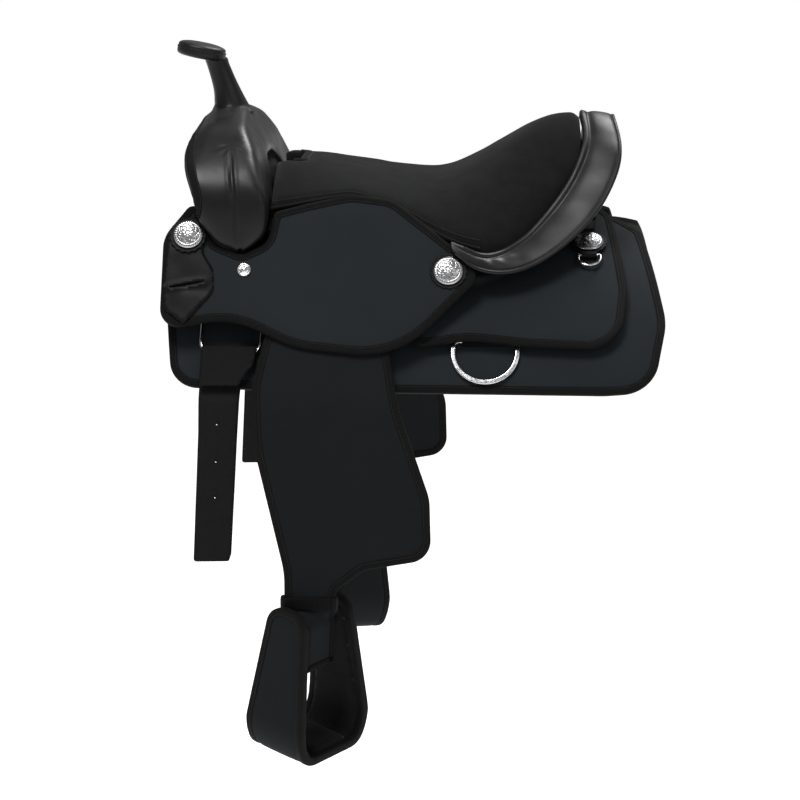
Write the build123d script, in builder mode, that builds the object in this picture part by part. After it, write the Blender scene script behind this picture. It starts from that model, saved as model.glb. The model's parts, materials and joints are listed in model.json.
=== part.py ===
"""Western saddle: tree, seat, jockeys, skirts, rigging, fenders and stirrups.

Millimetres. +X towards the cantle, -Y the near (left) side, +Z up.
The origin is on the horse's spine, under the middle of the seat.
"""
from build123d import *
from math import asin, cos, degrees, radians, sin, sqrt
import os

os.makedirs("parts", exist_ok=True)

# ---- the horse's back: one arc a side, meeting in a ridge along X ----
BACK_R = 320.0
RIDGE_SLOPE = 10.0
CENTRE = (BACK_R * sin(radians(RIDGE_SLOPE)), -BACK_R * cos(radians(RIDGE_SLOPE)))
HANG_SLOPE = 60.0  # the flaps hang as planes that touch the arcs at this slope

# ---- layers, as radii from CENTRE ----
GAP = 0.3
TAPE = 0.7  # how far binding tape stands proud of a panel
SKIRT_IN, SKIRT_OUT = 338.0, 343.4
BAR_IN, BAR_THIN, BAR_OUT = 344.4, 352.2, 360.0
REAR_JOCKEY_IN, REAR_JOCKEY_OUT = 353.1, 357.9
LOOP_TAIL_IN, LOOP_TAIL_OUT = 347.0, 351.2
LEATHER_IN, LEATHER_OUT = 351.7, 355.0
FENDER_IN, FENDER_OUT = 356.2, 360.7
JOCKEY_IN, JOCKEY_OUT = 362.5, 367.5
TAB_IN = JOCKEY_OUT + TAPE + GAP
TAPE_W = 9.0

# ---- straps, dees and conchos ----
WEB_T = 1.8
RIG_T = 1.5
DEE_BAR_R = 348.0  # radius from CENTRE at which both dees' bars lie
FRONT_WIRE = 4.6
REAR_WIRE_W, REAR_WIRE_T = 6.0, 4.0
FRONT_DEE_H, REAR_DEE_H = 60.0, 52.0
BACK_WEB_IN = 344.35
FRONT_DEE_X, FRONT_DEE_HALF = -197.0, 35.5
REAR_DEE_X, REAR_DEE_HALF = 101.0, 37.5
CONCHO_R, ROSETTE_R, SCREW_R = 17.4, 21.5, 2.5
LEATHER_T = 2.4

# ---- stirrup leathers and stirrups ----
HANG_X = -101.5  # middle of the stirrup leather
LEATHER_W = 52.0
RAIL_ANGLE, RAIL_R = 38.0, 6.0
BEND_K = 257.0  # radius, from CENTRE, of the centre that the fender bends about
BEND_S = 10.0
FLEX_GAP = 0.5  # between a strap's upper and lower parts, where it flexes
KEEPER_Z, KEEPER_H = -406.0, 16.0
NECK_Z = KEEPER_Z - 1.0
STIRRUP_X, STIRRUP_Z = -101.5, -430.0
STIRRUP_TURN = (8.0, 3.0, 52.0)
STIRRUP_W, STIRRUP_H, STIRRUP_DEPTH = 122.0, 152.0, 88.0
STIRRUP_TOP, STIRRUP_WALL = 36.0, 9.0
BOLT_R, BOLT_END = 6.0, 42.0


def at(radius, angle, centre=CENTRE):
    """Point (y, z) at a radius and an angle from straight up, towards the near side."""
    a = radians(angle)
    return (centre[0] - radius * sin(a), centre[1] + radius * cos(a))


def on_plane(rho, s, slope=HANG_SLOPE):
    """Point (y, z) on the near side's tangent plane, s down the slope from the tangent line."""
    y, z = at(rho, slope)
    a = radians(slope)
    return (y - s * cos(a), z - s * sin(a))


def slope_plane(x, rho, s, slope=HANG_SLOPE):
    """Plane that lies on the tangent plane, its x along X and its y up the slope."""
    y, z = on_plane(rho, s, slope)
    a = radians(slope)
    return Plane(origin=(x, y, z), x_dir=(1, 0, 0), z_dir=(0, -sin(a), cos(a)))


def s_at_z(z, slope=HANG_SLOPE, rho=365.0):
    """How far down the slope the tangent plane reaches height z."""
    return (at(rho, slope)[1] - z) / sin(radians(slope))


def flipped(plane):
    """The plane's mirror image on the off side."""
    o, n = plane.origin, plane.z_dir
    return Plane(origin=(o.X, -o.Y, o.Z), x_dir=(-1, 0, 0), z_dir=(n.X, -n.Y, n.Z))


def ring_sector(r_in, r_out, a0, a1, centre=CENTRE):
    """Face: a stretch of ring between two angles, drawn in the YZ plane."""
    mid = (a0 + a1) / 2
    with BuildLine() as rim:
        ThreePointArc(at(r_in, a0, centre), at(r_in, mid, centre), at(r_in, a1, centre))
        Line(at(r_in, a1, centre), at(r_out, a1, centre))
        ThreePointArc(at(r_out, a1, centre), at(r_out, mid, centre), at(r_out, a0, centre))
        Line(at(r_out, a0, centre), at(r_in, a0, centre))
    make_face(rim.edges())


def slab(rho_in, rho_out, s0, s1, slope=HANG_SLOPE):
    """Face: a flat layer on the tangent plane, drawn in the YZ plane."""
    with BuildLine() as rim:
        Polyline(
            on_plane(rho_in, s0, slope),
            on_plane(rho_in, s1, slope),
            on_plane(rho_out, s1, slope),
            on_plane(rho_out, s0, slope),
            close=True,
        )
    make_face(rim.edges())


def hanging_layer(rho_in, rho_out, z_low):
    """Face: a layer that bends from the slope to hang plumb, drawn in the YZ plane."""
    centre = on_plane(BEND_K, BEND_S)
    ring_sector(rho_in - BEND_K, rho_out - BEND_K, HANG_SLOPE, 90, centre)
    with BuildLine() as rim:
        Polyline(
            (centre[0] - rho_in + BEND_K, centre[1]),
            (centre[0] - rho_out + BEND_K, centre[1]),
            (centre[0] - rho_out + BEND_K, z_low),
            (centre[0] - rho_in + BEND_K, z_low),
            close=True,
        )
    make_face(rim.edges())


def outline(corners, shrink=0.0):
    """Face: a closed outline of (x, z, corner radius), drawn in the XZ plane."""
    points = [(x, z) for x, z, _ in corners]
    with BuildLine() as rim:
        FilletPolyline(*points, radius=[r for _, _, r in corners], close=True)
    make_face(rim.edges())
    if shrink:
        offset(amount=-shrink, mode=Mode.REPLACE)


def cut_to_outline(corners, shrink=0.0):
    """Keeps what lies behind an outline seen from the near side."""
    with BuildSketch(Plane.XZ) as front:
        outline(corners, shrink)
    extrude(front.sketch, amount=450, mode=Mode.INTERSECT)


def off_side(piece):
    """Mirror image of a near-side piece."""
    with BuildPart() as other:
        mirror(piece, about=Plane.XZ)
    return other.part


def both_sides(piece):
    """A near-side piece and its mirror image."""
    with BuildPart() as pair:
        add(piece)
        mirror(piece, about=Plane.XZ)
    return pair.part


def save(piece, name):
    piece.label = name
    export_step(piece, f"parts/{name}.step")


def save_pair(piece, name):
    """Writes a near-side piece and its off-side twin as two nodes."""
    save(piece, f"{name}_near")
    save(off_side(piece), f"{name}_off")


# ---- outlines seen from the near side: (x, z, corner radius) ----
SKIRT_EDGE = [
    (-268, 12, 10),
    (-278, -60, 60),
    (-264, -145, 34),
    (-100, -149, 300),
    (240, -150, 60),
    (296, -146, 30),
    (312, -75, 50),
    (286, 12, 6),
    (255, 25.5, 5),
    (120, 17, 100),
    (-120, 10, 60),
]
REAR_JOCKEY_EDGE = [
    (18, -99, 12),
    (18, 0, 5),
    (60, 39, 5),
    (234, 39, 5),
    (250, 30, 8),
    (266, -40, 60),
    (257, -99, 32),
    (150, -96, 200),
    (80, -90, 120),
]
JOCKEY_EDGE = [
    (-250, 56, 8),
    (-280, 20, 40),
    (-279, -80, 22),
    (-195, -66, 100),
    (-120, -98, 120),
    (0, -108, 110),
    (92, -22, 14),
    (78, -2, 8),
    (58, 14, 20),
    (-10, 62, 40),
    (-60, 68, 60),
    (-110, 58, 60),
    (-150, 48, 6),
    (-157, 14, 22),
    (-187, 1, 12),
    (-222, 14, 22),
    (-240, 52, 4),
]
FENDER_EDGE = [
    (-128, -12, 4),
    (-152, -72, 40),
    (-168, -140, 70),
    (-164, -215, 120),
    (-131, -360, 120),
    (-131, NECK_Z, 2),
    (-72, NECK_Z, 2),
    (-72, -382, 16),
    (-38, -356, 26),
    (40, -342, 26),
    (38, -270, 60),
    (2, -165, 90),
    (-14, -90, 60),
    (-62, -12, 4),
]
TAB_EDGE = [
    (-251, 44, 12),
    (-274, 30, 18),
    (-278, -36, 20),
    (-274, -58, 6),
    (-251, -73, 2),
    (-217, -38, 16),
    (-219, -14, 14),
    (-232, 4, 14),
    (-230, 38, 10),
]
FORK_EDGE = [
    (-187, 4, 10),
    (-162, 24, 20),
    (-158, 70, 40),
    (-163, 118, 30),
    (-188, 174, 22),
    (-246, 174, 22),
    (-265, 112, 50),
    (-240, 50, 60),
    (-214, 16, 16),
]
FORK_ARCH = [
    (-186, -10, 0),
    (-186, 80, 70),
    (-106, 148, 50),
    (0, 178, 90),
    (106, 148, 50),
    (186, 80, 70),
    (186, -10, 0),
    (72, -10, 0),
    (64, 104, 46),
    (-64, 104, 46),
    (-72, -10, 0),
]


# ---- the tree ----
def back_volume(radius, x0, x1):
    """Everything nearer the horse than a radius, on both sides."""
    with BuildPart() as volume:
        with BuildSketch(Plane.YZ.offset(x0)):
            with Locations(CENTRE):
                Circle(radius)
        extrude(amount=x1 - x0)
        with BuildSketch(Plane.YZ.offset(x0)):
            with Locations((-200, -200)):
                Rectangle(400, 600)
        extrude(amount=x1 - x0, mode=Mode.INTERSECT)
    return both_sides(volume.part)


UNDER_FORK = back_volume(BAR_OUT + GAP, -300, 240)
RAIL_RHO = 344.2
RAIL_Z = at(RAIL_RHO / cos(radians(HANG_SLOPE - RAIL_ANGLE)), RAIL_ANGLE)[1]
RAIL_AT = on_plane(RAIL_RHO, s_at_z(RAIL_Z, rho=RAIL_RHO))


RAIL_LUG = [at(345, 29), at(BAR_OUT, 31), at(376, 36), at(376, 40), at(362, 41.5), at(346, 31)]


def make_bar():
    """Near-side bar, with the rail and the slot that the stirrup leather turns round."""
    half = LEATHER_W / 2
    with BuildPart() as bar:
        with BuildSketch(Plane.YZ.offset(-228)):
            ring_sector(BAR_IN, BAR_THIN, 16.5, 32.5)
        extrude(amount=228 + 228)
        with BuildSketch(Plane.YZ.offset(-216)):
            ring_sector(BAR_IN, BAR_OUT, 16.5, 32.5)
        extrude(amount=216 + 14)
        with BuildSketch(Plane.XY.offset(-120)):
            with BuildLine():
                FilletPolyline(
                    (-228, -52),
                    (-228, -136),
                    (-50, -136),
                    (228, -128),
                    (228, -36),
                    (90, -46),
                    (-80, -50),
                    radius=[25, 25, 40, 25, 25, 60, 60],
                    close=True,
                )
            make_face()
        extrude(amount=220, mode=Mode.INTERSECT)
        for x in (HANG_X - half - 15, HANG_X + half + 3):
            with BuildSketch(Plane.YZ.offset(x)):
                with BuildLine():
                    Polyline(*RAIL_LUG, close=True)
                make_face()
            extrude(amount=12)
        with BuildSketch(Plane.YZ.offset(HANG_X - half - 15)):
            with Locations(RAIL_AT):
                Circle(RAIL_R)
        extrude(amount=LEATHER_W + 30)
    return bar.part


def make_fork(grow):
    """The fork's arch, cut to its side view, both grown outwards, with room for the jockeys."""
    with BuildPart() as fork:
        with BuildSketch(Plane.YZ.offset(-300)):
            outline(FORK_ARCH, -grow)
        extrude(amount=200)
        with BuildSketch(Plane.XZ.offset(-250)):
            outline(FORK_EDGE, -grow)
        extrude(amount=500, mode=Mode.INTERSECT)
        add(JOCKEY_ROOM, mode=Mode.SUBTRACT)
    return fork.part


def make_jockey_room():
    """Space that the seat jockeys and the rope tabs pass through under the fork."""
    with BuildPart() as room:
        with BuildSketch(Plane.YZ.offset(-300)):
            slab(JOCKEY_IN - TAPE - GAP, JOCKEY_OUT + TAPE + GAP, s_at_z(60), 0)
        extrude(amount=180)
        with BuildSketch(Plane.YZ.offset(-300)):
            slab(JOCKEY_IN, TAB_IN + LEATHER_T + GAP, s_at_z(50), 0)
        extrude(amount=86)
    return both_sides(room.part)


JOCKEY_ROOM = make_jockey_room()
COVER_T = 2.5
GULLET_T = 3.4
FORK_FEET_X = (-250, -172)


def make_fork_feet():
    """Blocks under the fork that stand on the bars."""
    with BuildPart() as feet:
        with Locations((sum(FORK_FEET_X) / 2, 0, 20)):
            Box(FORK_FEET_X[1] - FORK_FEET_X[0], 2 * 134, 76)
        with Locations((sum(FORK_FEET_X) / 2, 0, 20)):
            Box(100, 2 * 72, 80, mode=Mode.SUBTRACT)
        add(UNDER_FORK, mode=Mode.SUBTRACT)
    return feet.part


FEET = make_fork_feet()
FORK_WOOD, FORK_HOLLOW = make_fork(0), make_fork(0.05)
FORK_SKIN, FORK_CLEAR = make_fork(COVER_T), make_fork(COVER_T + GAP)


def make_tree_fork():
    with BuildPart() as fork:
        add(FORK_WOOD)
        add(FEET)
        add(UNDER_FORK, mode=Mode.SUBTRACT)
        with BuildSketch(HORN_PLANE.offset(-40)):
            Circle(HORN_POST_R + 0.02)
        extrude(amount=80, mode=Mode.SUBTRACT)
    return fork.part


def make_fork_cover():
    """Leather skin over the fork, open at the gullet and at the feet."""
    with BuildPart() as cover:
        add(FORK_SKIN)
        add(FORK_HOLLOW, mode=Mode.SUBTRACT)
        add(FEET, mode=Mode.SUBTRACT)
        add(UNDER_FORK, mode=Mode.SUBTRACT)
        with BuildSketch(HORN_PLANE.offset(-20)):
            Circle(HORN_POST_R + 0.05)
        extrude(amount=40, mode=Mode.SUBTRACT)
    return cover.part


def make_gullet_cover():
    """Bound neoprene panel over the front of the fork."""
    with BuildPart() as panel:
        with BuildSketch(Plane.XZ.offset(-250)):
            outline(FORK_EDGE, -COVER_T - GAP - GULLET_T)
            with Locations((-100, 80)):
                Rectangle(230, 400, mode=Mode.SUBTRACT)
        extrude(amount=500)
        with BuildSketch(Plane.XZ.offset(-250)):
            outline(FORK_EDGE, -COVER_T - GAP)
        extrude(amount=500, mode=Mode.SUBTRACT)
        with BuildSketch(Plane.YZ.offset(-300)):
            outline(FORK_ARCH, 7)
        extrude(amount=200, mode=Mode.INTERSECT)
        add(UNDER_FORK, mode=Mode.SUBTRACT)
        with BuildSketch(Plane.XZ.offset(-250)):
            with Locations((-200, 20)):
                Rectangle(200, 76)
        extrude(amount=500, mode=Mode.SUBTRACT)
    return panel.part


# ---- horn ----
HORN_BASE, HORN_TOP = Vector(-224.7, 0, 166), Vector(-243, 0, 217)
HORN_PLANE = Plane(origin=HORN_BASE, x_dir=(0, 1, 0), z_dir=HORN_TOP - HORN_BASE)
HORN_L = (HORN_TOP - HORN_BASE).length
HORN_POST_R = 8.0
CAP_PLANE = Plane(origin=(-254.5, 0, 218), x_dir=(0, 1, 0), z_dir=(0.2, 0, 1))
CAP_T = 16.0


def make_horn_post():
    """Steel horn: a neck with a flat cap plate."""
    with BuildPart() as post:
        with BuildSketch(HORN_PLANE.offset(-40)):
            Circle(HORN_POST_R)
        extrude(amount=40 + HORN_L)
        with BuildSketch(CAP_PLANE.offset(5)):
            Ellipse(20, 22)
        extrude(amount=5)
    return post.part


def make_horn_wrap():
    """Leather wrapped round the neck, flaring on to the fork."""
    with BuildPart() as wrap:
        with BuildSketch(HORN_PLANE.offset(-8)):
            Ellipse(24, 22)
        with BuildSketch(HORN_PLANE.offset(HORN_L * 0.45)):
            Ellipse(14.5, 14.5)
        with BuildSketch(HORN_PLANE.offset(HORN_L - 4)):
            Ellipse(12, 11.5)
        loft()
        with BuildSketch(HORN_PLANE.offset(-20)):
            Circle(HORN_POST_R)
        extrude(amount=40 + HORN_L, mode=Mode.SUBTRACT)
        add(FORK_SKIN, mode=Mode.SUBTRACT)
        with Locations((-219, 0, 120)):
            Box(100, 100, 64, mode=Mode.SUBTRACT)
        with BuildSketch(CAP_PLANE.offset(-0.1)):
            Ellipse(60, 60)
        extrude(amount=30, mode=Mode.SUBTRACT)
    return wrap.part


def make_horn_cap():
    """Padded leather cap with a hollow for the cap plate."""
    with BuildPart() as cap:
        with BuildSketch(CAP_PLANE):
            Ellipse(28, 30)
        extrude(amount=CAP_T)
        fillet(cap.faces().sort_by(Axis.Z)[-1].edges(), 6)
        add(HORN_POST, mode=Mode.SUBTRACT)
    return cap.part


# ---- seat and cantle ----
# the roll's inner and outer seams, from the back's middle to its near-side end
ROLL = [
    ((210, 0, 153), (252, 0, 150)),
    ((214, -50, 127), (259, -60, 123)),
    ((205, -80, 97), (256, -92, 96)),
    ((188, -105, 68), (241, -120, 64)),
    ((167, -125, 42), (222, -141, 40)),
    ((146, -143, 21), (198, -160, 18)),
    ((125, -158, 8), (172, -176, 0)),
    ((108, -169, 3), (142, -188, -13)),
    ((93, -177, 4), (112, -195, -16)),
    ((75, -184, 12), (83, -199, -7)),
    ((59, -186, 20), (61, -197, 12)),
]
ROLL_T = 12.0
# seat stations: x, height of the middle, half width, height of the edge, share of the crown half-way out
SEAT = [
    (-158, 104, 150, 52, 0.76),
    (-110, 98, 148, 61, 0.76),
    (-60, 90, 146, 69, 0.76),
    (-5, 82, 155, 53, 0.76),
    (40, 79, 168, 28, 0.76),
    (70, 90, 176, 16, 0.74),
    (104, 109, 168, 6, 0.70),
    (125, 122, 155, 10, 0.67),
    (146, 136, 140, 24, 0.64),
    (167, 146, 121, 46, 0.62),
    (188, 151, 101, 72, 0.60),
    (204, 152, 77, 99, 0.60),
]
SEAT_T = 20.0


def roll_section(k, side):
    """Four-sided section of the cantle roll at one station, on either side."""
    before, after = ROLL[max(k - 1, 0)][0], ROLL[min(k + 1, len(ROLL) - 1)][0]
    inner, outer = Vector(*ROLL[k][0]), Vector(*ROLL[k][1])
    along = Vector(0, 1, 0) if k == 0 else Vector(*before) - Vector(*after)
    across = outer - inner
    inward = along.cross(across).normalized()
    if inward.dot(Vector(100, 0, -60) - inner) < 0:
        inward = -inward
    share = min(1.0, 0.45 + 0.14 * (len(ROLL) - 1 - k))
    corners = [inner, outer, outer + inward * ROLL_T * share * 0.8, inner + inward * ROLL_T * share]
    return [(c.X, side * c.Y, c.Z) for c in corners]


def make_cantle_roll():
    last = len(ROLL) - 1
    rows = [roll_section(k, 1) for k in range(last, 0, -1)]
    rows += [roll_section(k, -1) for k in range(last + 1)]
    with BuildPart() as roll:
        loft([Face(Wire.make_polygon(row)) for row in rows], ruled=True)
        for jockey in SEAT_JOCKEYS:
            add(jockey, mode=Mode.SUBTRACT)
    return roll.part


def seat_section(middle, half, edge, crown, thick, edge_thick):
    """Face: a crowned section of the seat, drawn in the YZ plane."""
    shoulder = edge + (middle - edge) * crown
    with BuildLine() as rim:
        Spline((-half, edge), (-half / 2, shoulder), (0, middle), (half / 2, shoulder), (half, edge))
        Line((half, edge), (half - 4, edge - edge_thick))
        Spline(
            (half - 4, edge - edge_thick),
            (half / 2, shoulder - thick),
            (0, middle - thick),
            (-half / 2, shoulder - thick),
            (4 - half, edge - edge_thick),
        )
        Line((4 - half, edge - edge_thick), (-half, edge))
    make_face(rim.edges())


def make_seat():
    """Padded suede seat, with the hand hole behind the fork."""
    with BuildPart() as seat:
        for x, middle, half, edge, crown in SEAT:
            with BuildSketch(Plane.YZ.offset(x)):
                seat_section(middle, half, edge, crown, SEAT_T, 12)
        loft(ruled=True)
        with BuildSketch(Plane.XY.offset(20)):
            with Locations((-146, 0)):
                RectangleRounded(44, 122, 16)
        extrude(amount=140, mode=Mode.SUBTRACT)
        for jockey in SEAT_JOCKEYS:
            add(jockey, mode=Mode.SUBTRACT)
        add(CANTLE_ROLL, mode=Mode.SUBTRACT)
        add(FORK_CLEAR, mode=Mode.SUBTRACT)
    return seat.part


def make_ground_seat():
    """Moulded ground seat, arched from bar to bar under the padding."""
    with BuildPart() as ground:
        for x, middle, _, _, _ in SEAT[1:6]:
            with BuildSketch(Plane.YZ.offset(x)):
                seat_section(middle - SEAT_T - 4, 116, 8, 0.72, 8, 9)
        loft(ruled=True)
        add(UNDER_FORK, mode=Mode.SUBTRACT)
    return ground.part


CANTLE_X = 216.5
CANTLE_T = 11.0
CANTLE_ARCH = [
    (-78, 0, 0),
    (-78, 30, 0),
    (-100, 36, 6),
    (-84, 72, 60),
    (-38, 121, 60),
    (38, 121, 60),
    (84, 72, 60),
    (100, 36, 6),
    (78, 30, 0),
    (78, 0, 0),
]


def cantle_plate(x, thick, shrink):
    """An upright plate of the cantle's shape, standing on the bars."""
    with BuildPart() as plate:
        with BuildSketch(Plane.YZ.offset(x)):
            outline(CANTLE_ARCH, shrink)
        extrude(amount=thick)
        add(UNDER_FORK, mode=Mode.SUBTRACT)
        add(CANTLE_ROLL, mode=Mode.SUBTRACT)
    return plate.part


# ---- draped panels ----
def draped_panel(r_in, r_out, corners, a_top=10.2, inset=1.0):
    """A panel on the arc, cut to its outline."""
    with BuildPart() as panel:
        with BuildSketch(Plane.YZ.offset(-330)):
            ring_sector(r_in, r_out, a_top, 66)
        extrude(amount=700)
        cut_to_outline(corners, inset)
    return panel.part


def taped_edge(shell, panel, corners):
    """Binding tape: the rim of a thicker shell, with the panel cut out of it."""
    with BuildPart() as tape:
        add(shell)
        with BuildSketch(Plane.XZ):
            outline(corners, TAPE_W)
        extrude(amount=450, mode=Mode.SUBTRACT)
        add(panel, mode=Mode.SUBTRACT)
    return tape.part


def make_skirt():
    return draped_panel(SKIRT_IN, SKIRT_OUT, SKIRT_EDGE)


def make_skirt_tape():
    """Tape round the skirt, open along the spine."""
    edge = taped_edge(draped_panel(SKIRT_IN - TAPE, SKIRT_OUT + TAPE, SKIRT_EDGE, inset=0), SKIRT, SKIRT_EDGE)
    with BuildPart() as tape:
        add(edge)
        with Locations((-5, -75, 20)):
            Box(520, 160, 60, mode=Mode.SUBTRACT)
    return tape.part


def make_fleece():
    return draped_panel(BACK_R, SKIRT_IN - TAPE - GAP, SKIRT_EDGE, inset=10.5)


def make_rear_jockey():
    """L-shaped rear jockey, cut away in front for the cantle, with its concho's hole."""
    panel = draped_panel(REAR_JOCKEY_IN, REAR_JOCKEY_OUT, REAR_JOCKEY_EDGE)
    with BuildPart() as jockey:
        add(panel)
        with Locations((30, -34, 0)):
            Box(2 * 202.5, 100, 200, mode=Mode.SUBTRACT)
        with Locations(REAR_CONCHO):
            Cylinder(SCREW_R + 0.1, 40, mode=Mode.SUBTRACT)
    return jockey.part


def make_rear_jockey_tape():
    shell = draped_panel(REAR_JOCKEY_IN - TAPE, REAR_JOCKEY_OUT + TAPE, REAR_JOCKEY_EDGE, inset=0)
    edge = taped_edge(shell, REAR_JOCKEY, REAR_JOCKEY_EDGE)
    with BuildPart() as tape:
        add(edge)
        with Locations((30, -34, 0)):
            Box(2 * 203, 101, 200, mode=Mode.SUBTRACT)
        with Locations((0, -100, 20)):
            Box(100, 250, 160, mode=Mode.SUBTRACT)
    return tape.part


# ---- hanging panels ----
def hanging_panel(rho_in, rho_out, z_low, corners, inset=1.0):
    """A panel that bends to hang plumb, cut to its outline."""
    with BuildPart() as panel:
        with BuildSketch(Plane.YZ.offset(-330)):
            hanging_layer(rho_in, rho_out, z_low)
        extrude(amount=700)
        cut_to_outline(corners, inset)
    return panel.part


def flat_panel(rho_in, rho_out, corners, inset=1.0, s_low=60.0):
    """A panel that stays flat on the slope, cut to its outline."""
    with BuildPart() as panel:
        with BuildSketch(Plane.YZ.offset(-330)):
            slab(rho_in, rho_out, -260, s_low)
        extrude(amount=700)
        cut_to_outline(corners, inset)
    return panel.part


FRONT_CONCHO = slope_plane(-251, TAB_IN, s_at_z(19))
SEAT_CONCHO = slope_plane(57, JOCKEY_OUT + TAPE, s_at_z(-17))
FORK_RIVET = slope_plane(-183, JOCKEY_OUT, s_at_z(-17))
REAR_CONCHO_SLOPE = 27.0
REAR_CONCHO = slope_plane(222, REAR_JOCKEY_OUT + TAPE, 0, REAR_CONCHO_SLOPE)


def make_seat_jockey():
    panel = flat_panel(JOCKEY_IN, JOCKEY_OUT, JOCKEY_EDGE)
    with BuildPart() as jockey:
        add(panel)
        with Locations(FRONT_CONCHO, SEAT_CONCHO):
            Cylinder(SCREW_R + 0.1, 30, mode=Mode.SUBTRACT)
        with Locations(FORK_RIVET):
            Cylinder(4.1, 30, mode=Mode.SUBTRACT)
    return jockey.part


FENDER_PANEL = hanging_panel(FENDER_IN, FENDER_OUT, NECK_Z - 10, FENDER_EDGE)
TAIL_OFF = BOLT_R + 7.5


def hang_y(rho):
    """Where a layer that has bent to hang plumb lies."""
    return on_plane(BEND_K, BEND_S)[0] - (rho - BEND_K)


STIRRUP_Y = (hang_y(LEATHER_IN) + hang_y(LEATHER_OUT)) / 2
STIRRUP_PLANE = Plane(Location((STIRRUP_X, STIRRUP_Y, STIRRUP_Z), STIRRUP_TURN))


def strap_end(rho_in, rho_out, x, width):
    """Face: a strap's section just inside the keeper's lower edge."""
    with BuildSketch(Plane.XY.offset(KEEPER_Z)) as end:
        with Locations((x, (hang_y(rho_in) + hang_y(rho_out)) / 2)):
            Rectangle(width, rho_out - rho_in)
    return end.sketch.faces()[0]


def turned_end(y, width, thick, height):
    """Face: a strap's section in the stirrup's turned frame."""
    with BuildSketch(STIRRUP_PLANE.offset(height)) as end:
        with Locations((0, y)):
            Rectangle(width, thick)
    return end.sketch.faces()[0]


def make_fender_top():
    """The fender above its bend, with its binding, under the seat jockey."""
    low = BEND_S - FLEX_GAP
    panel = flat_panel(FENDER_IN, FENDER_OUT, FENDER_EDGE, s_low=low)
    shell = flat_panel(FENDER_IN - TAPE, FENDER_OUT + TAPE, FENDER_EDGE, inset=0, s_low=low)
    edge = taped_edge(shell, panel, FENDER_EDGE)
    with BuildPart() as top:
        add(panel)
        add(edge)
    return top.part


def make_leather_top():
    """The stirrup leather above its bend."""
    with BuildPart() as leather:
        with BuildSketch(Plane.YZ.offset(HANG_X - LEATHER_W / 2)):
            slab(LEATHER_IN, LEATHER_OUT, -112, BEND_S - FLEX_GAP)
        extrude(amount=LEATHER_W)
    return leather.part


def make_fender():
    """Fender panel; its tail turns with the stirrup and hangs in front of the bolt."""
    with BuildPart() as fender:
        add(FENDER_PANEL)
        loft([strap_end(FENDER_IN, FENDER_OUT, -101.5, 57), turned_end(-TAIL_OFF, 50, 3.6, 10)], ruled=True)
        with BuildSketch(STIRRUP_PLANE.offset(-46)):
            with Locations((0, -TAIL_OFF)):
                Rectangle(50, 3.6)
        extrude(amount=56)
    return fender.part


def make_fender_tape():
    low = KEEPER_Z + KEEPER_H + GAP
    shell = hanging_panel(FENDER_IN - TAPE, FENDER_OUT + TAPE, low, FENDER_EDGE, inset=0)
    return taped_edge(shell, FENDER_PANEL, FENDER_EDGE)


# ---- stirrup leather ----
def make_leather_loop():
    """Top of the stirrup leather, turned round the bar's rail."""
    with BuildPart() as loop:
        with BuildSketch(Plane.YZ.offset(HANG_X - LEATHER_W / 2)):
            with Locations(RAIL_AT):
                Circle(RAIL_R + 0.3 + 3.9)
            slab(LOOP_TAIL_IN, LOOP_TAIL_OUT, s_at_z(RAIL_AT[1], rho=349), BEND_S - 2)
            with Locations(RAIL_AT):
                Circle(RAIL_R + 0.3, mode=Mode.SUBTRACT)
        extrude(amount=LEATHER_W)
    return loop.part


def on_stirrup(base, shift=0.0):
    """A main plane of the stirrup's own frame, shifted along its normal."""
    return Plane(STIRRUP_PLANE.location * base.offset(shift).location)


def make_stirrup_leather():
    """Lower leather: behind the fender, down to the keeper, then round the stirrup's bolt."""
    half = LEATHER_W / 2
    with BuildPart() as leather:
        with BuildSketch(Plane.YZ.offset(HANG_X - half)):
            hanging_layer(LEATHER_IN, LEATHER_OUT, KEEPER_Z)
        extrude(amount=LEATHER_W)
        upper_end = strap_end(LEATHER_IN, LEATHER_OUT, HANG_X, LEATHER_W - 1)
        loft([upper_end, turned_end(0, 50, 9, 12)], ruled=True)
        with BuildSketch(on_stirrup(Plane.YZ, -25)):
            Circle(BOLT_R + 4.4)
            with Locations((0, 6)):
                Rectangle(9, 12)
            Circle(BOLT_R + 0.4, mode=Mode.SUBTRACT)
        extrude(amount=50)
    return leather.part


def make_leather_buckle():
    """Sliding buckle on the back of the stirrup leather."""
    y = hang_y(LEATHER_IN)
    with BuildPart() as buckle:
        with Locations((HANG_X, y + GAP + 1.5, -318)):
            Box(LEATHER_W + 8, 3, 42)
        for z in (-306, -330):
            with Locations((HANG_X, y + 3.4, z)):
                Box(LEATHER_W - 10, 2.4, 5)
    return buckle.part


def make_keeper():
    """Nylon keeper strap round the fender's neck, just above the stirrup."""
    y_out, y_in = hang_y(FENDER_OUT), hang_y(LEATHER_IN)
    deep, mid = y_in - y_out + 0.8, (y_in + y_out) / 2
    with BuildPart() as keeper:
        with BuildSketch(Plane.XY.offset(KEEPER_Z)):
            with Locations((HANG_X, mid)):
                RectangleRounded(59 + 4.2, deep + 4, 3)
                RectangleRounded(59, deep, 0.5, mode=Mode.SUBTRACT)
        extrude(amount=KEEPER_H)
    return keeper.part


# ---- stirrup, drawn on STIRRUP_PLANE: x along the bolt, z up ----
def stirrup_sketch(inset, top_z=STIRRUP_TOP):
    """Face: the stirrup's outline, or its opening, seen from the front."""
    bottom, top = STIRRUP_W / 2 - inset, 42 - inset
    low = -STIRRUP_H + inset
    with BuildLine() as rim:
        FilletPolyline(
            (-top, top_z),
            (top, top_z),
            (bottom, -STIRRUP_H * 0.78),
            (bottom - 14, low),
            (14 - bottom, low),
            (-bottom, -STIRRUP_H * 0.78),
            radius=[0, 0, 18, 12, 12, 18],
            close=True,
        )
    make_face(rim.edges())


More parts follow.
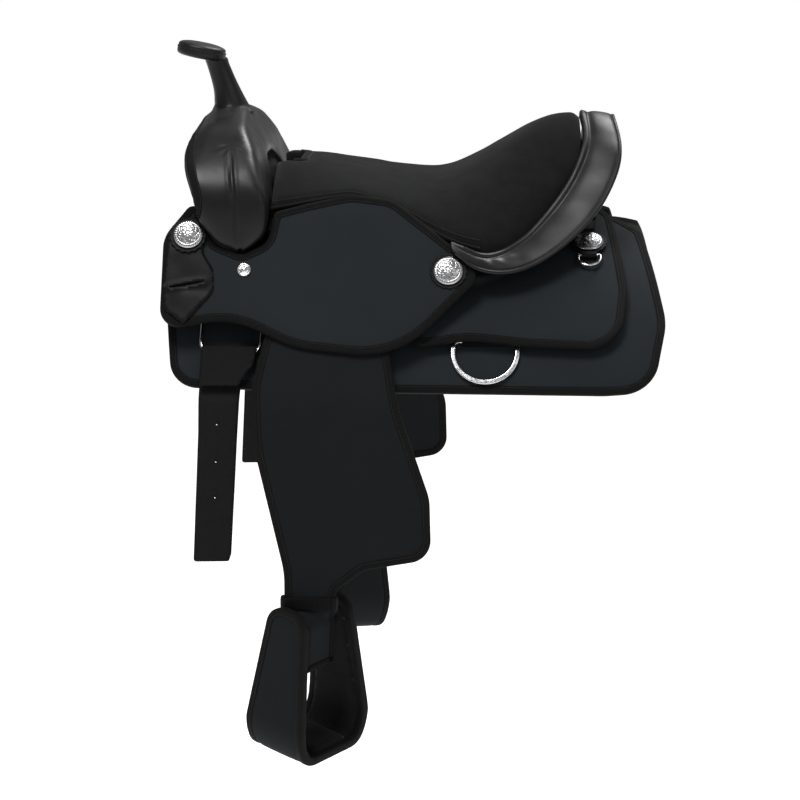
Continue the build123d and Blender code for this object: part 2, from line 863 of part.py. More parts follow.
def make_stirrup():
    """Wide bell-bottomed stirrup, covered in neoprene."""
    front = on_stirrup(Plane.XZ)
    side = on_stirrup(Plane.YZ)
    with BuildPart() as stirrup:
        with BuildSketch(front):
            stirrup_sketch(0)
        extrude(amount=STIRRUP_DEPTH / 2, both=True)
        with BuildSketch(side.offset(-STIRRUP_W)):
            with BuildLine():
                FilletPolyline(
                    (-28, STIRRUP_TOP - 2),
                    (28, STIRRUP_TOP - 2),
                    (STIRRUP_DEPTH / 2, -STIRRUP_H - 3),
                    (-STIRRUP_DEPTH / 2, -STIRRUP_H - 3),
                    radius=[24, 24, 10, 10],
                    close=True,
                )
            make_face()
        extrude(amount=2 * STIRRUP_W, mode=Mode.INTERSECT)
        with BuildSketch(front):
            stirrup_sketch(STIRRUP_WALL, STIRRUP_TOP + 6)
        extrude(amount=STIRRUP_DEPTH, both=True, mode=Mode.SUBTRACT)
        with BuildSketch(side.offset(-BOLT_END - 0.5)):
            Circle(BOLT_R * 0.6 + 0.1)
        extrude(amount=2 * BOLT_END + 1, mode=Mode.SUBTRACT)
    return stirrup.part


def make_stirrup_bolt():
    """Bolt between the stirrup's side panels, with its sleeve."""
    side = on_stirrup(Plane.YZ)
    with BuildPart() as bolt:
        with BuildSketch(side.offset(-32.5)):
            Circle(BOLT_R)
        extrude(amount=65)
        with BuildSketch(side.offset(-BOLT_END)):
            Circle(BOLT_R * 0.6)
        extrude(amount=2 * BOLT_END)
    return bolt.part


def make_stirrup_tread():
    """Suede-faced pad on the tread."""
    with BuildPart() as tread:
        with BuildSketch(STIRRUP_PLANE.offset(-STIRRUP_H + STIRRUP_WALL + 0.05)):
            RectangleRounded(60, STIRRUP_DEPTH - 10, 8)
        extrude(amount=4)
    return tread.part


# ---- rigging ----
def dee_plane(x, height, low_r, low_z):
    """Plane of a dee, from its height and from where its bottom lies; and its bar's angle."""
    bar_r = DEE_BAR_R
    low_angle = degrees(asin(sqrt(1 - ((low_z - CENTRE[1]) / low_r) ** 2)))
    span = (bar_r**2 + low_r**2 - height**2) / (2 * bar_r * low_r)
    bar_angle = low_angle - degrees(asin(sqrt(1 - span**2)))
    (y0, z0), (y1, z1) = at(bar_r, bar_angle), at(low_r, low_angle)
    up = Vector(0, y0 - y1, z0 - z1).normalized()
    normal = Vector(1, 0, 0).cross(up)
    return Plane(origin=(x, y0, z0), x_dir=(1, 0, 0), z_dir=normal), bar_angle


FRONT_BOW_R, FRONT_BOW_Z = 350.3, -114.0
FRONT_DEE_PLANE, FRONT_BAR_ANGLE = dee_plane(FRONT_DEE_X, FRONT_DEE_H, FRONT_BOW_R, FRONT_BOW_Z)
REAR_DEE_PLANE, REAR_BAR_ANGLE = dee_plane(REAR_DEE_X, REAR_DEE_H, DEE_BAR_R, -137.0)


def make_dee(plane, half, height, wide, thick, corner, bow, rounding=0.35):
    """A dee ring; the bar lies along the plane's x, the bow hangs below it."""
    with BuildPart() as dee:
        with BuildLine(plane) as path:
            FilletPolyline(
                (0, 0),
                (half, 0),
                (half, -height),
                (-half, -height),
                (-half, 0),
                radius=[0, corner, bow, bow, corner],
                close=True,
            )
        with BuildSketch(Plane(origin=path.wire() @ 0, x_dir=plane.z_dir, z_dir=path.wire() % 0)):
            RectangleRounded(thick, wide, thick * rounding)
        sweep()
    return dee.part


def make_rig_strap(x, half, bar_angle):
    """Leather folded round a dee's bar and stitched down on the skirt."""
    bar_r = DEE_BAR_R
    reach = REAR_WIRE_W / 2 + 0.4
    inside = REAR_WIRE_T / 2 + 0.75
    a_reach = degrees(asin(reach / bar_r))
    with BuildPart() as strap:
        with BuildSketch(Plane.YZ.offset(x - half)):
            reach = bar_angle + a_reach + 0.3
            ring_sector(bar_r - inside - RIG_T, bar_r + inside + RIG_T, bar_angle - 9, reach)
            ring_sector(bar_r - inside, bar_r + inside, bar_angle - 7.5, bar_angle + a_reach)
        extrude(amount=2 * half)
        with BuildSketch(Plane.YZ.offset(x - half)):
            ring_sector(bar_r - inside, bar_r + inside, bar_angle - 7.5, bar_angle + a_reach)
        extrude(amount=2 * half, mode=Mode.SUBTRACT)
    return strap.part


BILLET_X0, BILLET_X1 = -231.0, -186.5
BILLET_LOW = -355.0
WEB_EDGE_ANGLE = 61.8
FOLD_TOP_Z = -104.0
BILLET_HOLES = (-189, -234, -277)
BILLET_HOLE_R = 2.6


FRONT_WEB_IN = 352.8
WEB_CUT_ANGLE = 60.9  # where the billet's tail leaves the fold and flexes
BILLET_EDGE = [
    (-229, FOLD_TOP_Z + 12),
    (-165, FOLD_TOP_Z + 12),
    (-165, -118),
    (-186, -146),
    (-188, -200),
    (-197, BILLET_LOW + 8),
    (-199, BILLET_LOW + 3),
    (-241, BILLET_LOW + 1),
    (-232, -200),
    (-231, -140),
]


def cut_to_billet():
    """Keeps what lies behind the billet's outline."""
    with BuildSketch(Plane.XZ) as front:
        with BuildLine() as rim:
            Polyline(*BILLET_EDGE, close=True)
        make_face(rim.edges())
    extrude(front.sketch, amount=450, mode=Mode.INTERSECT)


def make_billet_fold():
    """Top of the doubled nylon billet, gathered round the dee's bow."""
    fold_angle = degrees(asin(sqrt(1 - ((FOLD_TOP_Z - CENTRE[1]) / 349.0) ** 2)))
    outer = FRONT_WEB_IN + WEB_T
    with BuildPart() as fold:
        with BuildSketch(Plane.YZ.offset(-240)):
            ring_sector(BACK_WEB_IN, BACK_WEB_IN + WEB_T, fold_angle, WEB_CUT_ANGLE)
            ring_sector(FRONT_WEB_IN, outer, fold_angle, WEB_CUT_ANGLE - 0.2)
        extrude(amount=100)
        cut_to_billet()
        with BuildSketch(Plane.YZ.offset(-222)):
            ring_sector(BACK_WEB_IN, outer, fold_angle - 0.3, fold_angle + 0.01)
        extrude(amount=50)
    return fold.part


def make_billet():
    """Long tail of the billet, which hangs plumb below the skirt."""
    bend_r = 30.0
    bend = at(BACK_WEB_IN - bend_r, WEB_EDGE_ANGLE)
    y = bend[0] - bend_r
    with BuildPart() as billet:
        with BuildSketch(Plane.YZ.offset(-250)):
            ring_sector(BACK_WEB_IN, BACK_WEB_IN + WEB_T, WEB_CUT_ANGLE + 0.1, WEB_EDGE_ANGLE)
            ring_sector(bend_r, bend_r + WEB_T, WEB_EDGE_ANGLE, 90, bend)
            with BuildLine() as rim:
                Polyline(
                    (y, bend[1]),
                    (y - WEB_T, bend[1]),
                    (y - WEB_T, BILLET_LOW),
                    (y, BILLET_LOW),
                    close=True,
                )
            make_face(rim.edges())
        extrude(amount=110)
        cut_to_billet()
        with BuildSketch(Plane.XZ.offset(200)):
            with Locations(*[(-211 - 0.04 * (-z - 189), z) for z in BILLET_HOLES]):
                Circle(BILLET_HOLE_R)
        extrude(amount=100, mode=Mode.SUBTRACT)
    return billet.part


# ---- conchos, rosettes, screws, tabs ----
STACK = [
    (FRONT_CONCHO, LEATHER_T + 0.2),
    (SEAT_CONCHO, 0.0),
    (REAR_CONCHO, 2.2),
]


def make_group(shape, lift):
    """The same small piece at the three near-side conchos and their mirror images."""
    near = [plane.offset(under + lift) for plane, under in STACK]
    with BuildPart() as group:
        with Locations(*near, *[flipped(p) for p in near]):
            shape()
    return group.part


def rosette_shape():
    Cylinder(ROSETTE_R, LEATHER_T, align=(Align.CENTER, Align.CENTER, Align.MIN))
    Cylinder(SCREW_R + 0.1, 20, mode=Mode.SUBTRACT)


def concho_shape():
    Cone(CONCHO_R, CONCHO_R - 4, 5.5, align=(Align.CENTER, Align.CENTER, Align.MIN))


def make_screws():
    """Concho screws; each reaches back through the leather under its concho."""
    near = [plane.offset(under + LEATHER_T + 0.2) for plane, under in STACK]
    depths = [11.5, 9.5, 9.0]
    with BuildPart() as screws:
        for plane, depth in zip(near, depths):
            with Locations(plane, flipped(plane)):
                Cylinder(SCREW_R, depth, align=(Align.CENTER, Align.CENTER, Align.MAX))
    return screws.part


def make_fork_rivets():
    """Eyelet rivets under the fork, one a side."""
    with BuildPart() as rivets:
        with Locations(FORK_RIVET, flipped(FORK_RIVET)):
            Cylinder(8, 2, align=(Align.CENTER, Align.CENTER, Align.MIN))
            Cylinder(4, 5, align=(Align.CENTER, Align.CENTER, Align.MAX))
    return rivets.part


def make_rope_tab():
    """Leather rope-strap tab under the front concho, with its slanted slot."""
    with BuildPart() as tab:
        with BuildSketch(Plane.YZ.offset(-330)):
            slab(TAB_IN, TAB_IN + LEATHER_T, -260, 60)
        extrude(amount=200)
        cut_to_outline(TAB_EDGE)
        with Locations(FRONT_CONCHO):
            Cylinder(SCREW_R + 0.3, 20, mode=Mode.SUBTRACT)
        with BuildSketch(Plane.XZ):
            with Locations(Location((-249, -31, 0), (0, 0, 10))):
                SlotOverall(44, 3.6)
        extrude(amount=450, mode=Mode.SUBTRACT)
    return tab.part


STRING_BAR = 27.0  # string dee's bar, down the slope from the rear concho
STRING_R = 13.0
STRING_WIRE = 4.0


def make_string_tab():
    """Leather tab between rear jockey and rosette, folded round the string dee's bar."""
    with BuildPart() as tab:
        with BuildSketch(REAR_CONCHO.offset(0.0)):
            with Locations((0, -9)):
                RectangleRounded(20, 38, 4)
            Circle(SCREW_R + 0.1, mode=Mode.SUBTRACT)
        extrude(amount=2.0)
        with BuildSketch(Plane(REAR_CONCHO.location * Plane.YZ.offset(-9).location)):
            with Locations((-STRING_BAR, STRING_WIRE / 2 + 2.4)):
                Circle(STRING_WIRE / 2 + 2.3)
                Circle(STRING_WIRE / 2 + 0.3, mode=Mode.SUBTRACT)
        extrude(amount=18)
    return tab.part


def make_string_dee():
    """Small dee for the saddle strings, lying down the slope."""
    bar = slope_plane(222, REAR_JOCKEY_OUT + TAPE + STRING_WIRE / 2 + 2.4, STRING_BAR, REAR_CONCHO_SLOPE)
    return make_dee(bar, STRING_R, 20.0, STRING_WIRE, STRING_WIRE - 0.2, 3.0, STRING_R - 0.2)


# ---- build everything ----
SKIRT = make_skirt()
REAR_JOCKEY = make_rear_jockey()
JOCKEY = make_seat_jockey()
JOCKEY_SHELL = flat_panel(JOCKEY_IN - TAPE, JOCKEY_OUT + TAPE, JOCKEY_EDGE, inset=0)
JOCKEY_TAPE = taped_edge(JOCKEY_SHELL, JOCKEY, JOCKEY_EDGE)
SEAT_JOCKEYS = [both_sides(JOCKEY), both_sides(JOCKEY_TAPE)]
CANTLE_ROLL = make_cantle_roll()
HORN_POST = make_horn_post()

save_pair(SKIRT, "skirt")
save(both_sides(make_fleece()), "fleece_linings")
save_pair(REAR_JOCKEY, "rear_jockey")
save_pair(JOCKEY, "seat_jockey")
save(both_sides([make_skirt_tape(), make_rear_jockey_tape(), JOCKEY_TAPE]), "panel_bindings")

save(both_sides(make_bar()), "tree_bars")
save(make_tree_fork(), "tree_fork")
save(cantle_plate(CANTLE_X, CANTLE_T, 0), "tree_cantle")
save(cantle_plate(CANTLE_X + CANTLE_T + GAP, 2.4, 0), "cantle_back")
save(CANTLE_ROLL, "cantle_roll")
save(make_ground_seat(), "ground_seat")
save(make_seat(), "seat")
save(HORN_POST, "horn_post")
save(make_horn_wrap(), "horn_wrap")
save(make_horn_cap(), "horn_cap")
save(make_fork_cover(), "fork_cover")
save(make_gullet_cover(), "gullet_cover")

save(make_group(concho_shape, LEATHER_T + 0.2), "conchos")
save(make_group(rosette_shape, 0), "rosettes")
save(make_screws(), "concho_screws")
save(make_fork_rivets(), "fork_rivets")
save_pair(make_rope_tab(), "rope_tab")
save(both_sides(make_string_tab()), "string_tabs")
save_pair(make_string_dee(), "string_dee")

FRONT_DEE = make_dee(FRONT_DEE_PLANE, FRONT_DEE_HALF, FRONT_DEE_H, FRONT_WIRE, FRONT_WIRE, 7.0, 24.0, 0.49)
REAR_TOP_R = REAR_DEE_HALF - 0.2
REAR_DEE = make_dee(REAR_DEE_PLANE, REAR_DEE_HALF, REAR_DEE_H, REAR_WIRE_W, REAR_WIRE_T, 7.0, REAR_TOP_R)
save_pair(FRONT_DEE, "front_dee")
save_pair(REAR_DEE, "rear_dee")
RIGS = [make_rig_strap(FRONT_DEE_X, 24, FRONT_BAR_ANGLE), make_rig_strap(REAR_DEE_X, 27, REAR_BAR_ANGLE)]
save(both_sides(RIGS), "rig_straps")
save_pair(make_billet_fold(), "billet_fold")
save_pair(make_billet(), "billet")

save_pair(make_leather_loop(), "leather_loop")
save_pair(make_fender_top(), "fender_top")
save_pair(make_leather_top(), "stirrup_leather_top")
save_pair(make_fender(), "fender")
save_pair(make_fender_tape(), "fender_binding")
save_pair(make_stirrup_leather(), "stirrup_leather")
save_pair(make_leather_buckle(), "leather_buckle")
save_pair(make_keeper(), "keeper")
save_pair(make_stirrup(), "stirrup")
save_pair(make_stirrup_bolt(), "stirrup_bolt")
save_pair(make_stirrup_tread(), "stirrup_tread")
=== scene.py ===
"""Looks of the western saddle: panels, bindings, stitching, leather, suede, conchos and light.

Lengths are millimetres in the row frame until a mesh is made: +X to the cantle, -Y the near side, +Z up.
"""
import json
import math

import bmesh
import bpy
import numpy as np
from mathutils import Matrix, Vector, noise
from mathutils.bvhtree import BVHTree
from mathutils.geometry import delaunay_2d_cdt


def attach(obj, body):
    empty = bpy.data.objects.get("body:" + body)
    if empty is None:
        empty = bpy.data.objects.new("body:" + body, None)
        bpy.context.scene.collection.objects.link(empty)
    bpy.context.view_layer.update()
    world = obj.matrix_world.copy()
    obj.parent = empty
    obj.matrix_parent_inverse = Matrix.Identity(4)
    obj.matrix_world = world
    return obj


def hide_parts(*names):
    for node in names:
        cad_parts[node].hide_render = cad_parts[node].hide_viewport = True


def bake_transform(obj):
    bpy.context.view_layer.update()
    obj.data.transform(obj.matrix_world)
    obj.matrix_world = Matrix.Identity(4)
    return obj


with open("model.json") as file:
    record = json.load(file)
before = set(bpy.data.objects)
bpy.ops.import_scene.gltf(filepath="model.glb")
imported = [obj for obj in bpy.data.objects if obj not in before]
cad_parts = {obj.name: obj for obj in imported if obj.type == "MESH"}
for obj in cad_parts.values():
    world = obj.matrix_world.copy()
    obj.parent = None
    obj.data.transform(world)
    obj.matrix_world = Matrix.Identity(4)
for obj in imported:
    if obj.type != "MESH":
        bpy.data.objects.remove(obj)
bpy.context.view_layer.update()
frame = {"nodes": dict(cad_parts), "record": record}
MM = 0.001
NEAR, OFF = 1.0, -1.0
SIDES = (("near", NEAR), ("off", OFF))

# ---- the horse's back and the layers on it, as in the CAD model ----
BACK_R = 320.0
CENTRE = np.array((BACK_R * math.sin(math.radians(10)), -BACK_R * math.cos(math.radians(10))))
RIDGE = math.radians(10.2)
SLOPE = math.radians(60)
DOWN = np.array((-math.cos(SLOPE), -math.sin(SLOPE)))  # down the slope, in (y, z)
OUT = np.array((-math.sin(SLOPE), math.cos(SLOPE)))  # away from the horse
BEND_K, BEND_S = 257.0, 10.0
SKIRT_R, REAR_JOCKEY_R, FENDER_RHO, JOCKEY_RHO = 343.4, 357.9, 360.7, 367.5
FENDER_T = 4.5
TAPE_W = 9.0
STITCH_PITCH = 3.4
# a stitch's rings: share of its length, share of its width, rise
STITCH_RINGS = ((-0.5, 0.35, -0.25), (-0.3, 0.9, 0.1), (0.0, 1.0, 0.25), (0.3, 0.9, 0.1), (0.5, 0.35, -0.25))


def smooth(t):
    """Smoothstep of t between 0 and 1."""
    t = np.clip(t, 0, 1)
    return t * t * (3 - 2 * t)


def wobble(points, size, amount, seed=0.0):
    """Soft random heights at points, with features of that size."""
    shift = Vector((seed, seed * 0.7, -seed))
    return amount * np.array([noise.noise(Vector(p) / size + shift) for p in points])


class Drape:
    """A layer that follows the horse's back at one radius."""

    def __init__(self, radius):
        self.r = radius

    def t_of_z(self, z):
        angle = np.arccos(np.clip((z - CENTRE[1]) / self.r, -1, 1))
        return self.r * np.maximum(angle, RIDGE)

    def place(self, x, t, lift):
        a, r = t / self.r, self.r + lift
        return np.stack([x, CENTRE[0] - r * np.sin(a), CENTRE[1] + r * np.cos(a)], -1)


class Flat:
    """A layer that lies on the slope's tangent plane."""

    def __init__(self, rho):
        self.rho = rho
        self.start = CENTRE + OUT * rho

    def t_of_z(self, z):
        return (z - self.start[1]) / DOWN[1]

    def place(self, x, t, lift):
        p = self.start + np.multiply.outer(t, DOWN) + np.multiply.outer(lift + 0 * t, OUT)
        return np.concatenate([np.asarray(x, float)[..., None], p], -1)


class Hang(Flat):
    """A layer that lies on the slope, then bends to hang plumb."""

    def __init__(self, rho):
        super().__init__(rho)
        self.centre = CENTRE + OUT * BEND_K + DOWN * BEND_S
        self.r = rho - BEND_K
        self.bend_end = BEND_S + self.r * (math.pi / 2 - SLOPE)

    def t_of_z(self, z):
        z = np.asarray(z, float)
        on_slope = super().t_of_z(z)
        angle = np.arccos(np.clip((z - self.centre[1]) / self.r, -1, 1))
        bent = BEND_S + self.r * (angle - SLOPE)
        plumb = self.bend_end + self.centre[1] - z
        return np.where(on_slope < BEND_S, on_slope, np.where(z > self.centre[1], bent, plumb))

    def place(self, x, t, lift):
        t, lift = np.broadcast_arrays(np.asarray(t, float), lift)
        a = SLOPE + np.clip((t - BEND_S) / self.r, 0, math.pi / 2 - SLOPE)
        y = self.centre[0] - (self.r + lift) * np.sin(a)
        z = self.centre[1] + (self.r + lift) * np.cos(a) - np.maximum(t - self.bend_end, 0)
        bent = np.stack([np.asarray(x, float) + 0 * t, y, z], -1)
        return np.where((t < BEND_S)[..., None], super().place(np.asarray(x, float) + 0 * t, t, lift), bent)


# ---- outlines seen from the near side: (x, z, corner radius) ----
NECK_Z = -407.0
SKIRT_EDGE = [
    (-268, 12, 10), (-278, -60, 60), (-264, -145, 34), (-100, -149, 300), (240, -150, 60), (296, -146, 46),
    (312, -75, 90), (286, 12, 6), (255, 25.5, 5), (120, 17, 100), (-120, 10, 60),
]
REAR_JOCKEY_EDGE = [
    (18, -99, 12), (18, 0, 5), (60, 39, 5), (234, 39, 5), (250, 30, 14), (266, -40, 60), (257, -99, 44),
    (150, -96, 200), (80, -90, 120),
]
JOCKEY_EDGE = [
    (-250, 56, 8), (-280, 20, 40), (-279, -80, 22), (-195, -66, 100), (-120, -98, 120), (0, -108, 110),
    (92, -22, 14), (78, -2, 8), (58, 14, 20), (-10, 62, 40), (-60, 68, 60), (-110, 58, 60), (-150, 48, 6),
    (-157, 14, 22), (-187, 1, 12), (-222, 14, 22), (-240, 52, 4),
]
FENDER_EDGE = [
    (-128, -12, 4), (-152, -72, 40), (-168, -140, 70), (-164, -215, 120), (-131, -360, 120), (-131, NECK_Z, 2),
    (-72, NECK_Z, 2), (-72, -382, 16), (-38, -356, 26), (40, -342, 26), (38, -270, 60), (2, -165, 90),
    (-14, -90, 60), (-62, -12, 4),
]
TAB_EDGE = [
    (-251, 44, 12), (-274, 30, 18), (-278, -36, 20), (-274, -58, 6), (-251, -73, 2), (-217, -38, 16),
    (-219, -14, 14), (-232, 4, 14), (-230, 38, 10),
]


def turned(a, b):
    return a[..., 0] * b[..., 1] - a[..., 1] * b[..., 0]


class Outline:
    """A closed outline with round corners, laid on a layer as (x, t), and its parallels inside it."""

    def __init__(self, corners, layer, step=4.0):
        self.layer = layer
        self.corners = np.array([(x, float(layer.t_of_z(z))) for x, z, _ in corners])
        self.radii = np.array([r for _, _, r in corners], float)
        area = turned(self.corners, np.roll(self.corners, -1, 0)).sum()
        self.turn = 1.0 if area > 0 else -1.0
        self.step = step
        self.counts = None
        self.rim = self.loop(0.0)

    def loop(self, inset):
        """Points of the outline moved inwards by inset; every loop has its points one to one."""
        c, n = self.corners, len(self.corners)
        before, after = np.roll(c, 1, 0), np.roll(c, -1, 0)
        u = (c - before) / np.linalg.norm(c - before, axis=1)[:, None]
        v = (after - c) / np.linalg.norm(after - c, axis=1)[:, None]
        inward_u = self.turn * np.stack([-u[:, 1], u[:, 0]], 1)
        inward_v = self.turn * np.stack([-v[:, 1], v[:, 0]], 1)
        mitre = (inward_u + inward_v) / (1 + (inward_u * inward_v).sum(1))[:, None]
        p = c + mitre * inset
        bend = np.arctan2(turned(u, v), (u * v).sum(1))
        tangent = np.tan(np.abs(bend) / 2)
        cut, long = self.radii * tangent, np.linalg.norm(after - c, axis=1)
        share = np.minimum(1.0, 0.98 * long / np.maximum(cut + np.roll(cut, -1), 1e-6))
        base = self.radii * np.minimum(share, np.roll(share, 1))
        convex = bend * self.turn > 0
        r = np.where(convex, np.maximum(base - inset, 0.02), base + inset)
        cut = r * tangent
        starts, ends = p - u * cut[:, None], p + v * cut[:, None]
        if self.counts is None:
            arc = [max(2, math.ceil(abs(bend[i]) * r[i] / self.step)) for i in range(n)]
            gap = np.linalg.norm(np.roll(starts, -1, 0) - ends, axis=1)
            self.counts = [(arc[i], max(1, math.ceil(gap[i] / self.step))) for i in range(n)]
        points = []
        for i, (on_arc, on_line) in enumerate(self.counts):
            side = math.copysign(1.0, bend[i])
            middle = starts[i] + side * r[i] * np.array((-u[i, 1], u[i, 0]))
            a0 = math.atan2(*(starts[i] - middle)[::-1])
            for k in range(on_arc):
                a = a0 + bend[i] * k / on_arc
                points.append(middle + r[i] * np.array((math.cos(a), math.sin(a))))
            following = starts[(i + 1) % n]
            points += [ends[i] + (following - ends[i]) * k / on_line for k in range(on_line)]
        return np.array(points)

    def place(self, inset, lift):
        flat = self.loop(inset)
        return self.layer.place(flat[:, 0], flat[:, 1], lift)


def inside(points, loop):
    """Which points lie inside a closed loop."""
    a, b = loop, np.roll(loop, -1, 0)
    hit = np.zeros(len(points), bool)
    for p, q in zip(a, b):
        spans = (p[1] > points[:, 1]) != (q[1] > points[:, 1])
        if p[1] != q[1]:
            hit ^= spans & (points[:, 0] < (q[0] - p[0]) * (points[:, 1] - p[1]) / (q[1] - p[1]) + p[0])
    return hit


def distance(points, loop):
    """Distance of each point to a closed loop."""
    best = np.full(len(points), 1e9)
    for p, q in zip(loop, np.roll(loop, -1, 0)):
        d = q - p
        share = np.clip(((points - p) @ d) / max(d @ d, 1e-9), 0, 1)
        best = np.minimum(best, np.linalg.norm(points - p - share[:, None] * d, axis=1))
    return best


def triangulate(loops, spacing):
    """Triangles over the first loop, less the holes that the other loops cut."""
    low, high = loops[0].min(0), loops[0].max(0)
    rows = int((high[1] - low[1]) / (spacing * 0.866)) + 2
    grid = []
    for k in range(rows):
        xs = np.arange(low[0] + (k % 2) * spacing / 2, high[0], spacing)
        grid.append(np.stack([xs, np.full(len(xs), low[1] + k * spacing * 0.866)], 1))
    grid = np.concatenate(grid)
    keep = inside(grid, loops[0])
    for k, loop in enumerate(loops):
        keep &= distance(grid, loop) > spacing * 0.55
        if k:
            keep &= ~inside(grid, loop)
    points = np.concatenate([*loops, grid[keep]])
    edges, start = [], 0
    for loop in loops:
        n = len(loop)
        edges += [(start + i, start + (i + 1) % n) for i in range(n)]
        start += n
    made = delaunay_2d_cdt([Vector(p) for p in points], edges, [], 0, 1e-4)
    flat = np.array([tuple(v) for v in made[0]])
    tris = np.array(made[2])
    middle = flat[tris].mean(1)
    good = inside(middle, loops[0])
    for loop in loops[1:]:
        good &= ~inside(middle, loop)
    return flat, tris[good]


def rim_edges(tris):
    """Edges that only one triangle has, in that triangle's direction."""
    seen = {}
    for t in tris:
        for a, b in ((t[0], t[1]), (t[1], t[2]), (t[2], t[0])):
            seen[(a, b)] = True
    return [e for e in seen if (e[1], e[0]) not in seen]


def closed_panel(flat, tris, top, bottom):
    """A solid from matching top and bottom points over one set of triangles."""
    n = len(flat)
    faces = [tuple(t) for t in tris] + [tuple(n + i for i in t[::-1]) for t in tris]
    faces += [(b, a, n + a, n + b) for a, b in rim_edges(tris)]
    return np.concatenate([top, bottom]), faces


# ---- pieces ----
def add_piece(name, verts, faces, material, uv=None):
    mesh = bpy.data.meshes.new(name)
    mesh.from_pydata(np.asarray(verts) * MM, [], [tuple(int(i) for i in f) for f in faces])
    mesh.validate()
    mesh.polygons.foreach_set("use_smooth", [True] * len(mesh.polygons))
    if uv is not None:
        layer = mesh.uv_layers.new(name="UVMap")
        layer.data.foreach_set("uv", np.asarray(uv, np.float32).ravel())
    mesh.materials.append(material)
    obj = bpy.data.objects.new(name, mesh)
    bpy.context.scene.collection.objects.link(obj)
    outward(obj)
    return obj


def outward(obj):
    """Turns the faces so that they look out of the solid."""
    work = bmesh.new()
    work.from_mesh(obj.data)
    bmesh.ops.recalc_face_normals(work, faces=work.faces)
    work.to_mesh(obj.data)
    work.free()


def settle(obj, body, blend=None, stands_for=()):
    """Puts a piece on its body or, when given a blend, bakes its place into its mesh; hides the nodes it stands
    for.
    """
    if blend:
        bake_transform(obj)
    else:
        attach(obj, body)
    if stands_for:
        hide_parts(*stands_for)
    return obj


def add_pair(name, verts, faces, material, body="saddle", blend=None, stands_for=(), uv=None):
    """A near-side piece and its mirror image; {} in a name stands for the side."""
    made = []
    for side, sign in SIDES:
        points = np.asarray(verts) * (1, sign, 1)
        obj = add_piece(f"{name}_{side}", points, faces, material, uv)
        across = blend and (
            blend[0].format(side), blend[1].format(side),
            np.array(blend[2]) * (1, sign, 1) * MM, np.array(blend[3]) * (1, sign, 1) * MM,
        )
        settle(obj, body.format(side), across, [n.format(side) for n in stands_for])
        made.append(obj)
    return made


def sweep(rings, closed, caps=False):
    """Faces and UVs, in millimetres, over closed rings of points of one count."""
    rings = np.asarray(rings)
    n, k = rings.shape[:2]
    along = np.linalg.norm(np.roll(rings, -1, 0) - rings, axis=2).mean(1)
    around = np.linalg.norm(np.roll(rings, -1, 1) - rings, axis=2).mean(0)
    u, v = np.concatenate([[0], np.cumsum(along)]), np.concatenate([[0], np.cumsum(around)])
    faces, uv = [], []
    for i in range(n if closed else n - 1):
        for j in range(k):
            a, b = (i + 1) % n, (j + 1) % k
            faces.append((i * k + j, a * k + j, a * k + b, i * k + b))
            uv += [(u[i], v[j]), (u[i + 1], v[j]), (u[i + 1], v[j + 1]), (u[i], v[j + 1])]
    if caps and not closed:
        faces += [tuple(range(k)), tuple(range((n - 1) * k + k - 1, (n - 1) * k - 1, -1))]
        uv += [(u[0], v[j]) for j in range(k)] + [(u[-1], v[j]) for j in range(k)]
    return rings.reshape(-1, 3), faces, uv


def walk(points, pitch, closed):
    """Evenly spaced middles and unit directions along a line of points."""
    line = np.concatenate([points, points[:1]]) if closed else np.asarray(points)
    steps = np.linalg.norm(np.diff(line, axis=0), axis=1)
    length = np.concatenate([[0], np.cumsum(steps)])
    count = max(1, int(length[-1] / pitch))
    at = (np.arange(count) + 0.5) * length[-1] / count
    where = np.stack([np.interp(at, length, line[:, k]) for k in range(3)], 1)
    ahead = np.stack([np.interp(at + 0.3, length, line[:, k]) for k in range(3)], 1)
    behind = np.stack([np.interp(at - 0.3, length, line[:, k]) for k in range(3)], 1)
    way = ahead - behind
    return where, way / np.maximum(np.linalg.norm(way, axis=1), 1e-9)[:, None], at / length[-1]


def stitch_mesh(points, normals, closed=True, pitch=STITCH_PITCH, long=2.5, wide=0.42):
    """Short rounded threads along a line, each dipping into the cloth at both ends."""
    where, way, share = walk(points, pitch, closed)
    which = np.clip((share * len(normals)).astype(int), 0, len(normals) - 1)
    up = np.asarray(normals)[which]
    up = up - (up * way).sum(1)[:, None] * way
    up /= np.linalg.norm(up, axis=1)[:, None]
    across = np.cross(up, way)
    shape, sides = [], 6
    for a, size, rise in STITCH_RINGS:
        for k in range(sides):
            w = 2 * math.pi * k / sides
            shape.append((a * long, wide * size * math.cos(w), wide * (size * math.sin(w) + rise)))
    shape = np.array(shape)
    verts = (
        where[:, None] + shape[None, :, :1] * way[:, None]
        + shape[None, :, 1:2] * across[:, None] + shape[None, :, 2:] * up[:, None]
    )
    faces, per = [], len(shape)
    for s in range(len(where)):
        base = s * per
        for i in range(4):
            for k in range(sides):
                a, b = base + i * sides + k, base + i * sides + (k + 1) % sides
                faces.append((a, b, b + sides, a + sides))
        faces.append(tuple(base + k for k in range(sides)))
        faces.append(tuple(base + 4 * sides + k for k in reversed(range(sides))))
    return verts.reshape(-1, 3), faces


# ---- materials ----
def new_material(name, colour, rough, metallic=0.0, specular=0.5, sheen=0.0):
    material = bpy.data.materials.new(name)
    material.use_nodes = True
    shader = material.node_tree.nodes["Principled BSDF"]
    shader.inputs["Base Color"].default_value = (*colour, 1)
    shader.inputs["Roughness"].default_value = rough
    shader.inputs["Metallic"].default_value = metallic
    shader.inputs["Specular IOR Level"].default_value = specular
    shader.inputs["Sheen Weight"].default_value = sheen
    shader.inputs["Sheen Roughness"].default_value = 0.45
    return material


